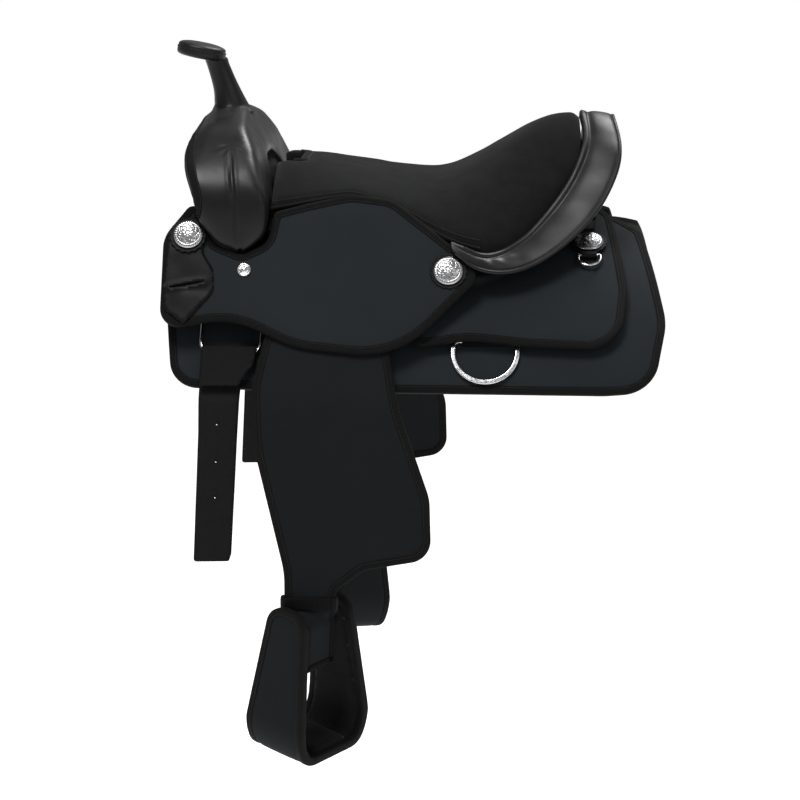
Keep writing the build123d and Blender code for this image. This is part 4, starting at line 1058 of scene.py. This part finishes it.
def through(points, per):
    """A smooth curve through points, with that many samples a span."""
    p = np.asarray(points, float)
    p = np.concatenate([p[:1] * 2 - p[1:2], p, p[-1:] * 2 - p[-2:-1]])
    out = []
    for k in range(1, len(p) - 2):
        for t in np.arange(per) / per:
            out.append(0.5 * (2 * p[k] + (p[k + 1] - p[k - 1]) * t
                              + (2 * p[k - 1] - 5 * p[k] + 4 * p[k + 1] - p[k + 2]) * t**2
                              + (3 * p[k] - p[k - 1] - 3 * p[k + 1] + p[k + 2]) * t**3))
    return np.array([*out, p[-2]])


def make_cantle_roll():
    """Smooth leather roll: a raised inner welt, stitch lines, a piped outer edge, pleats at its ends."""
    mirror = np.array((1, -1, 1))
    inner = np.array([a for a, _ in ROLL], float)
    outer = np.array([b for _, b in ROLL], float)
    inner = through(np.concatenate([inner[:0:-1], inner * mirror]), 7)
    outer = through(np.concatenate([outer[:0:-1], outer * mirror]), 7)
    way = np.gradient((inner + outer) / 2, axis=0)
    across = outer - inner
    width = np.linalg.norm(across, axis=1)
    up = np.cross(across, way)
    up /= np.linalg.norm(up, axis=1)[:, None]
    up *= np.sign((up * (np.array((100.0, 0, -60)) - inner)).sum(1))[:, None] * -1
    count = len(inner)
    end = np.minimum(np.arange(count), count - 1 - np.arange(count)) / (count / 2)
    fade = smooth(end / 0.12)
    pleat = np.exp(-(((end - 0.22) / 0.12) ** 2))
    rings = []
    for d_in, lift in (
        (0.0, -0.5), (0.8, 1.9), (2.4, 2.9), (4.6, 3.0), (6.8, 2.7), (8.2, 1.6), (9.6, 0.9), (12.5, 1.6),
    ):
        rings.append(inner + across / width[:, None] * np.minimum(d_in, width * 0.5)[:, None]
                     + up * (lift * fade)[:, None])
    for share in (0.36, 0.5, 0.64, 0.78, 0.88):
        bulge = 2.6 * (1 - ((share - 0.5) / 0.5) ** 2) + 0.4
        ripple = 0.9 * pleat * np.sin(np.arange(count) * 1.15) * (1 - share)
        rings.append(inner + across * share + up * (bulge * fade + ripple)[:, None])
    unit = across / width[:, None]
    for d_out, lift in (
        (4.2, 0.8), (3.2, 0.2), (1.6, 1.3), (-0.6, 1.2), (-2.0, -0.8), (-1.4, -3.0), (0.6, -4.0),
    ):
        rings.append(outer - unit * (d_out * fade)[:, None] + up * (lift * fade)[:, None])
    thick = ROLL_T * np.minimum(1, 0.45 + 1.4 * end)
    rings.append(outer - unit * (4 * fade)[:, None] - up * (thick * 0.75)[:, None])
    rings.append(inner + across * 0.5 - up * thick[:, None])
    rings.append(inner - up * thick[:, None])
    rings = np.stack(rings, 1)
    rings += up[:, None] * wobble(rings.reshape(-1, 3), 30.0, 0.5, 9.1).reshape(count, -1, 1)
    verts, faces, uv = sweep(rings, closed=False, caps=True)
    roll = add_piece("cantle_roll_leather", verts, faces, LEATHER, uv)
    roll.modifiers.new("smooth", "SUBSURF").render_levels = 1
    settle(roll, "saddle", stands_for=["cantle_roll"])
    live = slice(6, count - 6)
    for name, row in (("inner", 2), ("middle", 5), ("outer", 14)):
        points, threads = stitch_mesh(rings[live, row] + up[live] * 0.15, up[live], closed=False)
        settle(add_piece(f"cantle_stitches_{name}", points, threads, THREAD), "saddle")


# ---- conchos ----
LEATHER_T = 2.4


def slope_frame(x, rho, s, slope=60.0):
    """Origin, across and up-slope directions of a spot on a tangent plane of the near side."""
    a = math.radians(slope)
    out = np.array((-math.sin(a), math.cos(a)))
    down = np.array((-math.cos(a), -math.sin(a)))
    y, z = CENTRE + out * rho + down * s
    return np.array((x, y, z)), (1.0, 0.0, 0.0), (0.0, -down[0], -down[1])


def s_of_z(z, rho=365.0):
    return ((CENTRE + OUT * rho)[1] - z) / -DOWN[1]


TAB_IN = 368.5
CONCHOS = (
    ("front", slope_frame(-251, TAB_IN, s_of_z(19)), LEATHER_T + 0.2, (0.8, 0.6)),
    ("seat", slope_frame(57, JOCKEY_RHO + 0.7, s_of_z(-17)), 0.0, (0, 0)),
    ("rear", slope_frame(222, REAR_JOCKEY_R + 0.7, 0, 27.0), 2.2, (0, 0)),
)


def polar(radii, count):
    a = np.linspace(0, 2 * math.pi, count, endpoint=False)
    return np.meshgrid(np.asarray(radii, float), a, indexing="ij")


def add_small(name, origin, axes, rings, material, body="saddle", attribute=None):
    """A small round piece from polar rings of (x, y, height), and its mirror image."""
    verts, faces, uv = sweep(rings, closed=False, caps=True)
    placed = frame_points(origin, axes[0], axes[1], verts)
    made = add_pair(name, placed, faces, material, body, uv=uv)
    if attribute is not None:
        for obj in made:
            layer = obj.data.attributes.new("recess", "FLOAT", "POINT")
            layer.data.foreach_set("value", np.asarray(attribute, np.float32).ravel())
    return made


def engraving(r, a):
    """Height and darkness of a concho's engraving: a flower, scrolled leaves and a rope edge."""
    petals = np.abs(np.cos(4 * a))
    flower = np.exp(-(((r - 4.8) / 2.2) ** 2)) * petals**0.7
    vein = np.exp(-((np.sin(8 * a + 0.9 * r) / 0.30) ** 2)) * ((r > 7.0) & (r < 12.6))
    leaf = np.exp(-((np.sin(4 * a - 0.55 * r) / 0.22) ** 2)) * ((r > 7.4) & (r < 12.4))
    rope = 0.5 + 0.5 * np.sin(34 * a + 1.5 * r)
    on_rope = np.clip(1 - np.abs(r - 15.4) / 1.5, 0, 1)
    groove = np.exp(-(((r - 13.3) / 0.4) ** 2)) + np.exp(-(((r - 2.6) / 0.35) ** 2))
    height = 0.45 * flower - 0.32 * vein - 0.38 * leaf + 0.5 * on_rope * rope - 0.5 * groove
    dark = np.clip(0.75 * vein + 0.8 * leaf + 0.8 * groove + on_rope * (1 - rope) * 0.7, 0, 1)
    return height, dark


def make_conchos():
    """Domed engraved conchos on scalloped rosettes."""
    radii = np.concatenate([np.linspace(0.4, 16.6, 46), [17.0, 17.3, 17.4, 17.3, 16.8]])
    r, a = polar(radii, 160)
    height, dark = engraving(r, a)
    dome = 1.6 + 4.4 * (1 - (np.minimum(r, 17.4) / 17.6) ** 2)
    drop = np.zeros(len(radii))
    drop[-5:] = (0.1, 0.5, 1.2, 2.0, 2.6)
    z = np.maximum(dome + height - drop[:, None], 0.05)
    for k, (name, (origin, across, up), under, shift) in enumerate(CONCHOS):
        lift = under + LEATHER_T + 0.2
        rings = np.stack([r * np.cos(a) + shift[0], r * np.sin(a) + shift[1], z + lift], -1)
        axes = (across, up)
        pair = add_small(f"concho_{name}", origin, axes, rings, ENGRAVED, attribute=dark)
        edge_r = np.array([0.5, 14.0, 17.6, 19.0, 20.2, 21.1, 21.6, 21.4, 20.6, 14.0])
        flat = np.array([2.0, 2.0, 2.3, 1.7, 2.35, 2.2, 1.5, 0.6, 0.0, 0.0])
        q, b = polar(edge_r, 216)
        scallop = 1 + (q > 18.5) * 0.075 * (np.abs(np.cos(8.5 * b)) - 0.6) * np.clip((q - 18) / 3, 0, 1)
        rings = np.stack([q * scallop * np.cos(b), q * scallop * np.sin(b), flat[:, None] + under + 0 * q], -1)
        rosette = add_small(f"rosette_{name}", origin, axes, rings, TOOLED)
        if k == 0:
            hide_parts("conchos", "concho_screws")
            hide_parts("rosettes")


def make_rivets():
    """Nickel ferrule under the fork: a rolled rim round a sunk washer and a domed rivet."""
    origin, across, up = slope_frame(-183, JOCKEY_RHO, s_of_z(-17))
    profile = (  # radius, height
        (0.3, 2.3), (1.6, 2.2), (2.5, 1.5), (2.9, 0.9), (4.2, 0.9), (4.6, 1.3), (5.4, 1.35), (5.9, 1.0),
        (6.4, 1.9), (7.2, 2.4), (7.9, 2.0), (8.2, 1.0), (8.1, 0.2), (5.0, 0.1),
    )
    a = np.linspace(0, 2 * math.pi, 64, endpoint=False)
    rings = [np.stack([q * np.cos(a), q * np.sin(a), 0 * a + h + 0.9], -1) for q, h in profile]
    pair = add_small("fork_ferrule", origin, (across, up), rings, NICKEL)
    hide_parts("fork_rivets")


# ---- rope strap tab ----
def make_rope_tab():
    """Leather tab with a slanted slot whose lips stand up, hung from the front concho."""
    layer = Flat(TAB_IN + LEATHER_T)
    outline = Outline(TAB_EDGE, layer, 3.0)
    slant, long, wide = math.radians(10), 18.0, 1.4
    a = np.linspace(0, 2 * math.pi, 40, endpoint=False)
    along, over = long * np.cos(a) + 3 * np.sign(np.cos(a)), wide * np.sin(a)
    slot = np.stack([
        -249 + along * math.cos(slant) - over * math.sin(slant),
        layer.t_of_z(-31 + along * math.sin(slant) + over * math.cos(slant)),
    ], 1)
    flat, tris = triangulate([outline.loop(0.0), slot], 3.2)
    d, lip = distance(flat, outline.rim), distance(flat, slot)
    base = layer.place(flat[:, 0], flat[:, 1], 0 * d)
    rise = -0.9 * np.exp(-((d / 1.2) ** 2)) + 0.25 * np.exp(-(((d - 2.6) / 1.0) ** 2))
    rise += 2.0 * np.exp(-((lip / 3.6) ** 2))
    below = smooth((layer.t_of_z(-31.0) - flat[:, 1] + (flat[:, 0] + 249) * 0.17 + 4) / -8)
    rise = rise + wobble(base, 24.0, 1.0, 6.0) * smooth(d / 8) + 0.9 * below
    top = layer.place(flat[:, 0], flat[:, 1], rise)
    bottom = layer.place(flat[:, 0], flat[:, 1], -LEATHER_T + 0 * d)
    verts, faces = closed_panel(flat, tris, top, bottom)
    on_tab = "rope_tab_{}"
    add_pair("rope_tab_leather", verts, faces, TOOLED, on_tab, stands_for=[on_tab])


# ---- nylon ----
class Track:
    """A layer that follows a given line in (y, z); x runs across it and t along it."""

    def __init__(self, line):
        line = np.asarray(line, float)
        steps = np.linalg.norm(np.diff(line, axis=0), axis=1)
        self.t = np.concatenate([[0], np.cumsum(steps)])
        self.line = line
        way = np.gradient(line, axis=0)
        way /= np.linalg.norm(way, axis=1)[:, None]
        self.out = np.stack([way[:, 1], -way[:, 0]], 1)

    def t_of_z(self, z):
        return z

    def place(self, x, t, lift):
        y, z = (np.interp(t, self.t, self.line[:, k]) for k in (0, 1))
        ny, nz = (np.interp(t, self.t, self.out[:, k]) for k in (0, 1))
        return np.stack([np.asarray(x, float) + 0 * y, y + ny * lift, z + nz * lift], -1)


def at(radius, degrees, centre=CENTRE):
    a = math.radians(degrees)
    return np.array((centre[0] - radius * math.sin(a), centre[1] + radius * math.cos(a)))


BACK_WEB, FRONT_WEB = 345.25, 353.7
WEB_EDGE, FOLD_LOW, BILLET_LOW = 61.8, 60.8, -355.0
FOLD_TOP_Z, HOLE_R = -104.0, 0.9


def make_billet():
    """Doubled nylon billet: a gathered fold over the dee's bow, and the long tail behind with its holes."""
    fold = math.degrees(math.asin(math.sqrt(1 - ((FOLD_TOP_Z - CENTRE[1]) / 349.0) ** 2)))
    line = [at(FRONT_WEB, a) for a in np.linspace(FOLD_LOW, fold + 0.6, 12)]
    top = (at(FRONT_WEB, fold + 0.5) + at(BACK_WEB, fold + 0.5)) / 2
    turn = (FRONT_WEB - BACK_WEB) / 2
    out = (at(FRONT_WEB, fold + 0.5) - at(BACK_WEB, fold + 0.5)) / (2 * turn)
    rise = np.array((out[1], -out[0]))
    steps = np.radians((25, 50, 75, 105, 130, 155))
    line += [top + turn * (out * math.cos(a) + rise * math.sin(a)) for a in steps]
    line += [at(BACK_WEB, a) for a in np.linspace(fold + 0.6, WEB_EDGE, 14)]
    bend = at(BACK_WEB - 0.9 - 30, WEB_EDGE)
    line += [at(30.9, a, bend) for a in np.linspace(WEB_EDGE + 4, 90, 8)]
    line += [np.array((bend[0] - 30.9, z)) for z in np.linspace(bend[1] - 3, BILLET_LOW, 60)]
    track = Track(line)
    over = track.t[11]
    hang = track.t[-1]

    def z_at(z):
        return float(np.interp(-z, -track.line[-60:, 1], track.t[-60:]))

    edge = [
        (-231, 0, 2), (-186, 0, 2), (-168, over * 0.6, 8), (-165, over + 8, 10), (-182, over + 40, 20),
        (-187, z_at(-200), 60), (-196, hang - 10, 8), (-199, hang - 1, 3), (-241, hang, 3),
        (-233, z_at(-200), 60), (-231, over + 30, 20),
    ]
    outline = Outline(edge, track, 3.0)
    holes = []
    for z in (-189, -234, -277):
        a = np.linspace(0, 2 * math.pi, 20, endpoint=False)
        holes.append(np.stack([-211 - 0.04 * (-z - 189) + HOLE_R * np.cos(a), z_at(z) + HOLE_R * np.sin(a)], 1))
    flat, tris = triangulate([outline.loop(0.0), *holes], 3.4)
    x, t = flat.T
    d = np.minimum(distance(flat, outline.rim), 30)
    front = smooth((over + 14 - t) / 16)
    ribs = 0.85 * front * np.sin(x * 2 * math.pi / 4.2)
    ribs += 0.35 * front * wobble(np.stack([x, t, 0 * x], 1), 12, 1.0)
    lips = sum(0.7 * np.exp(-((np.maximum(distance(flat, h) - 0.6, 0) / 1.2) ** 2)) for h in holes)
    sag = wobble(np.stack([x * 0.4, t, 0 * x], 1), 60.0, 1.2, 1.0) * smooth((t - over - 60) / 60)
    lift = 0.9 - 0.5 * np.exp(-((d / 0.9) ** 2)) + ribs + lips + sag
    top = track.place(x, t, lift)
    bottom = track.place(x, t, sag - 0.9)
    verts, faces = closed_panel(flat, tris, top, bottom)
    uv_points = np.concatenate([np.stack([t, x], 1)] * 2)
    uv = [uv_points[i] for f in faces for i in f]
    above, below = (np.array((-211.0, *at(BACK_WEB, a))) for a in (61.0, 63.5))
    across = ("front_dee_{}", "billet_{}", above, below)
    stands_for = ["billet_{}", "billet_fold_{}"]
    add_pair("billet_web", verts, faces, WEB, blend=across, stands_for=stands_for, uv=uv)


HANG_X, NECK_OUT, NECK_IN, KEEPER_Z = -101.5, -275.7, -266.7, -406.0


def make_keeper():
    """Ribbed nylon keeper round the fender's neck, its end folded back at the front."""
    half_x, half_y, turn = 30.6, 6.0, 3.0
    path = []
    for sx, sy, a0 in ((1, -1, -90), (1, 1, 0), (-1, 1, 90), (-1, -1, 180)):
        for a in np.radians(a0 + np.linspace(0, 90, 6)):
            path.append((sx * (half_x - turn) + turn * math.cos(a), sy * (half_y - turn) + turn * math.sin(a)))
    path = np.array(path) + (HANG_X, (NECK_OUT + NECK_IN) / 2)
    dense = []
    for p, q in zip(path, np.roll(path, -1, 0)):
        steps = max(1, int(np.linalg.norm(q - p) / 0.8))
        dense += [p + (q - p) * k / steps for k in range(steps)]
    path = np.array(dense)
    way = np.roll(path, -1, 0) - np.roll(path, 1, 0)
    out = np.stack([way[:, 1], -way[:, 0]], 1)
    out /= np.linalg.norm(out, axis=1)[:, None]
    length = np.cumsum(np.linalg.norm(np.roll(path, 1, 0) - path, axis=1))
    ribs = 0.45 * np.sin(length * 2 * math.pi / 2.6)
    fold = 2.0 * smooth((HANG_X - 24 - path[:, 0]) / 5) * (path[:, 1] < (NECK_OUT + NECK_IN) / 2 + 4)
    rings = []
    for h, lift in (
        (0.6, 0.3), (0.0, 0.8), (0.6, 1.5), (3, 1.9), (8, 2.0), (13, 1.9), (15.4, 1.5), (16, 0.8), (15.4, 0.3),
        (8, 0.1),
    ):
        reach = lift + (ribs if lift > 1 else 0) + fold * min(lift, 1.0)
        rings.append(np.concatenate([path + out * np.broadcast_to(reach, len(path))[:, None],
                                     np.full((len(path), 1), KEEPER_Z + h)], 1))
    verts, faces, uv = sweep(np.stack(rings, 1), closed=True)
    add_pair("keeper_web", verts, faces, WEB, "fender_{}", stands_for=["keeper_{}"], uv=uv)


# ---- stirrup ----
def rotation(rx, ry, rz):
    """Turn about X, then Y, then Z, each about the axes that the last one left."""
    (a, b, c), (d, e, f) = np.cos(np.radians((rx, ry, rz))), np.sin(np.radians((rx, ry, rz)))
    about_x = np.array(((1, 0, 0), (0, a, -d), (0, d, a)))
    about_y = np.array(((b, 0, e), (0, 1, 0), (-e, 0, b)))
    about_z = np.array(((c, -f, 0), (f, c, 0), (0, 0, 1)))
    return about_x @ about_y @ about_z


STIRRUP_AT, STIRRUP_AXES = np.array((-101.5, -268.35, -430.0)), rotation(8, 3, 52)
STIRRUP_W, STIRRUP_H, STIRRUP_TOP, STIRRUP_WALL = 122.0, 152.0, 36.0, 9.0
TAIL_OFF = 13.5


def in_stirrup(points):
    """Points of the stirrup's own frame (along the bolt, across the tread, up) in the row frame."""
    return STIRRUP_AT + np.asarray(points, float) @ STIRRUP_AXES.T


class Ribbon:
    """The stirrup's strip: t runs down one arm, along the tread and up the other; x runs across it."""

    def __init__(self):
        wide, low, waist = STIRRUP_W / 2, -STIRRUP_H, -STIRRUP_H * 0.78
        corners = [
            (-42, STIRRUP_TOP), (-wide, waist), (14 - wide, low), (wide - 14, low), (wide, waist),
            (42, STIRRUP_TOP),
        ]
        line = [np.array(corners[0], float)]
        for k in range(1, 5):
            p = np.array(corners[k], float)
            u, v = np.array(corners[k - 1]) - p, np.array(corners[k + 1]) - p
            u, v = u / np.linalg.norm(u), v / np.linalg.norm(v)
            line += [p * (1 - t) ** 2 + 2 * p * t * (1 - t) + p * t**2 + 17 * (u * (1 - t) ** 2 + v * t**2)
                     for t in np.linspace(0, 1, 9)]
        line.append(np.array(corners[5], float))
        self.line = np.array(line)
        self.t = np.concatenate([[0], np.cumsum(np.linalg.norm(np.diff(self.line, axis=0), axis=1))])
        self.fine = np.linspace(0, self.t[-1], 400)
        dense = np.stack([np.interp(self.fine, self.t, self.line[:, k]) for k in (0, 1)], 1)
        way = np.gradient(dense, axis=0)
        way = np.pad(way, ((6, 6), (0, 0)), mode="edge")
        way = np.stack([np.convolve(way[:, k], np.ones(13) / 13, mode="valid") for k in (0, 1)], 1)
        way /= np.linalg.norm(way, axis=1)[:, None]
        self.dense, self.out = dense, np.stack([way[:, 1], -way[:, 0]], 1)

    def t_of_z(self, z):
        return z

    def place(self, x, t, lift):
        a, z = (np.interp(t, self.fine, self.dense[:, k]) for k in (0, 1))
        na, nz = (np.interp(t, self.fine, self.out[:, k]) for k in (0, 1))
        return in_stirrup(np.stack([a + na * lift, np.asarray(x, float) + 0 * a, z + nz * lift], -1))


def make_stirrup():
    """Stirrup covered in cloth outside and suede inside, bound at its edges, with a padded tread."""
    ribbon = Ribbon()
    end = ribbon.t[-1]
    arm = 146.0
    edge = [
        (-27, 0, 25), (27, 0, 25), (44, arm, 80), (44, end - arm, 80), (27, end, 25), (-27, end, 25),
        (-44, end - arm, 80), (-44, arm, 80),
    ]
    outline = Outline(edge, ribbon)
    # The stirrup cover takes the cloth with painted shade.
    bound_panel("stirrup_cover", outline, STIRRUP_WALL, ["stirrup_{}"], body="stirrup_{}", puff=1.2, wave=0.8,
                spacing=5.0, material=SHADED_CLOTH)
    add_pad("stirrup_lining", outline, 7.5, -STIRRUP_WALL, 1.5, SUEDE, ())
    middle = end / 2
    front, rear = middle - 31, middle + 31
    tread = Outline([(-38, front, 9), (38, front, 9), (38, rear, 9), (-38, rear, 9)], ribbon)
    pad = add_pad("tread_pad", tread, 0.5, -STIRRUP_WALL - 1.0, 4.4, SUEDE, ["stirrup_tread_{}"])


def add_pad(name, outline, inset, face, thick, material, stands_for):
    """A soft face on the inside of the stirrup."""
    layer = outline.layer
    flat, tris = triangulate([outline.loop(inset)], 5.0)
    d = distance(flat, outline.loop(inset))
    base = layer.place(flat[:, 0], flat[:, 1], face + 0 * d)
    swell = thick * (1 - 0.8 * np.exp(-((d / 3.5) ** 2))) + wobble(base, 26.0, 0.7, 2.0) * smooth(d / 10)
    top = layer.place(flat[:, 0], flat[:, 1], face - swell)
    verts, faces = closed_panel(flat, tris, top, layer.place(flat[:, 0], flat[:, 1], face + 0.5 + 0 * d))
    return add_pair(name, verts, faces, material, "stirrup_{}", stands_for=stands_for)


# the tail's section: share of the half width, height; and its tape's: from the edge, height
TAIL_PROFILE = (
    (-1, 0), (-0.98, 2.6), (-0.8, 2.9), (-0.68, 2.3), (-0.3, 2.7), (0, 2.9), (0.3, 2.7), (0.68, 2.3),
    (0.8, 2.9), (0.98, 2.6), (1, 0), (0.98, -2.4), (0.68, -2.2), (0, -2.2), (-0.68, -2.2), (-0.98, -2.4),
)
TAIL_TAPE = (
    (8, 3.2), (5, 3.7), (1, 3.3), (-1.2, 1.6), (-1.6, 0), (-1.2, -1.6), (1, -3.0), (8, -3.0), (8, 0),
)


def unit(v):
    """Vectors at length one."""
    return v / np.linalg.norm(v, axis=-1, keepdims=True)


def tape_tail(name, line, way, out):
    """Tape round one edge of the tail; way points in from the edge."""
    tape = [line + way * a + out * h for a, h in TAIL_TAPE]
    verts, faces, uv = sweep(np.stack(tape, 1), closed=False, caps=True)
    add_pair(f"fender_tail_tape_{name}", verts, faces, BINDING, "fender_{}", uv=uv)


def make_fender_tail():
    """The fender's bound end: it turns with the stirrup below the keeper and hangs before the bolt."""
    start = np.array((HANG_X, NECK_OUT + FENDER_T / 2, KEEPER_Z + 4))
    finish = in_stirrup((0, -TAIL_OFF, 8))
    side_a, side_b = np.array((1.0, 0, 0)), STIRRUP_AXES[:, 0]
    rings, count = [], 26
    low = in_stirrup((0, -TAIL_OFF, -46))
    for k in range(count):
        share = k / (count - 1)
        turn = smooth(share / 0.42)
        centre = start + (finish - start) * min(share / 0.42, 1)
        if share > 0.42:
            centre = finish + (low - finish) * (share - 0.42) / 0.58
        side = side_a * (1 - turn) + side_b * turn
        side /= np.linalg.norm(side)
        half = 28.5 * (1 - turn) + 25 * turn
        down = finish - start if share < 0.42 else low - finish
        out = np.cross(side, down)
        out /= np.linalg.norm(out)
        ring = []
        for a, h in TAIL_PROFILE:
            ring.append(centre + side * half * a + out * h)
        rings.append(ring)
    verts, faces, uv = sweep(rings, closed=False, caps=True)
    # The tail takes the cloth with painted shade.
    add_pair("fender_tail_cloth", verts, faces, SHADED_CLOTH, "fender_{}", uv=uv)
    rings = np.array(rings)
    front, rear, face, back = (rings[:, k] for k in (0, 10, 5, 13))
    for name, line in (("front", front), ("rear", rear)):
        tape_tail(name, line, unit((front + rear) / 2 - line), unit(face - back))
    edge = np.array([front[-1] + (rear[-1] - front[-1]) * k / 14 for k in range(15)])
    tape_tail("low", edge, -unit(face[-1] - face[-3]), unit(face[-1] - back[-1]))


# ---- fleece ----
def make_fleece_linings():
    """Curly fleece under each skirt."""
    layer = Drape(BACK_R + 17.0)
    outline = Outline(SKIRT_EDGE, layer, 5.0)
    flat, tris = triangulate([outline.loop(14.0)], 4.5)
    d = distance(flat, outline.loop(14.0))
    base = layer.place(flat[:, 0], flat[:, 1], 0 * d)
    curls = wobble(base, 7.0, 3.2, 1.0) + wobble(base, 3.4, 1.6, 4.0) + wobble(base, 40.0, 1.6, 9.0)
    pile = 13.6 * (1 - np.exp(-((d + 1.5) / 5.0))) + curls
    bottom = layer.place(flat[:, 0], flat[:, 1], -np.clip(pile, 1.0, 17.5))
    verts, faces = closed_panel(flat, tris, base, bottom)
    near, _ = add_pair("fleece_pile", verts, faces, FLEECE)
    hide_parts("fleece_linings")


# ---- stage ----
def add_light(name, place, target, power, size, colour=(1, 1, 1)):
    light = bpy.data.lights.new(name, "AREA")
    light.energy, light.size, light.color = power, size, colour
    obj = bpy.data.objects.new(name, light)
    obj.location = place
    obj.rotation_euler = (Vector(target) - Vector(place)).to_track_quat("-Z", "Y").to_euler()
    bpy.context.scene.collection.objects.link(obj)


def make_stage():
    size, low = 60.0, -1.3
    mesh = bpy.data.meshes.new("floor")
    corners = [(-size, -size, low), (size, -size, low), (size, size, low), (-size, size, low)]
    mesh.from_pydata(corners, [], [(0, 1, 2, 3)])
    material = new_material("floor", (0.93, 0.93, 0.93), 0.9, specular=0.1)
    shader = material.node_tree.nodes["Principled BSDF"]
    shader.inputs["Emission Color"].default_value = (1, 1, 1, 1)
    shader.inputs["Emission Strength"].default_value = 0.72
    mesh.materials.append(material)
    floor = bpy.data.objects.new("floor", mesh)
    bpy.context.scene.collection.objects.link(floor)
    world = bpy.data.worlds.new("studio")
    bpy.context.scene.world = world
    world.use_nodes = True
    world.node_tree.nodes["Background"].inputs["Color"].default_value = (1, 1, 1, 1)
    world.node_tree.nodes["Background"].inputs["Strength"].default_value = 0.30
    middle = (0.0, 0.0, -0.1)
    add_light("key", (-0.7, -1.3, 3.0), middle, 95.0, 1.2)
    add_light("fill", (2.4, -2.4, 2.0), middle, 12.0, 1.4)
    add_light("rim", (0.9, 1.6, 2.6), middle, 75.0, 1.3)


def make_camera():
    """The photograph's viewing angle: a little to the right of square on, and from above."""
    target = Vector((-0.010, 0.0, -0.211))
    azimuth, elevation, far = math.radians(3), math.radians(12), 3.2
    back = Vector((
        math.sin(azimuth) * math.cos(elevation), -math.cos(azimuth) * math.cos(elevation), math.sin(elevation)
    ))
    data = bpy.data.cameras.new("camera")
    data.sensor_width, data.lens = 36.0, 114.1
    camera = bpy.data.objects.new("camera", data)
    camera.location = target + back * far
    camera.rotation_euler = (-back).to_track_quat("-Z", "Y").to_euler()
    bpy.context.scene.collection.objects.link(camera)
    bpy.context.scene.camera = camera
    bpy.context.scene.view_settings.view_transform = "Standard"


bound_panels()
make_horn(make_fork())
make_seat()
make_cantle_roll()
make_conchos()
make_rivets()
make_rope_tab()
make_billet()
make_keeper()
make_stirrup()
make_fender_tail()
make_fleece_linings()
make_stage()
make_camera()
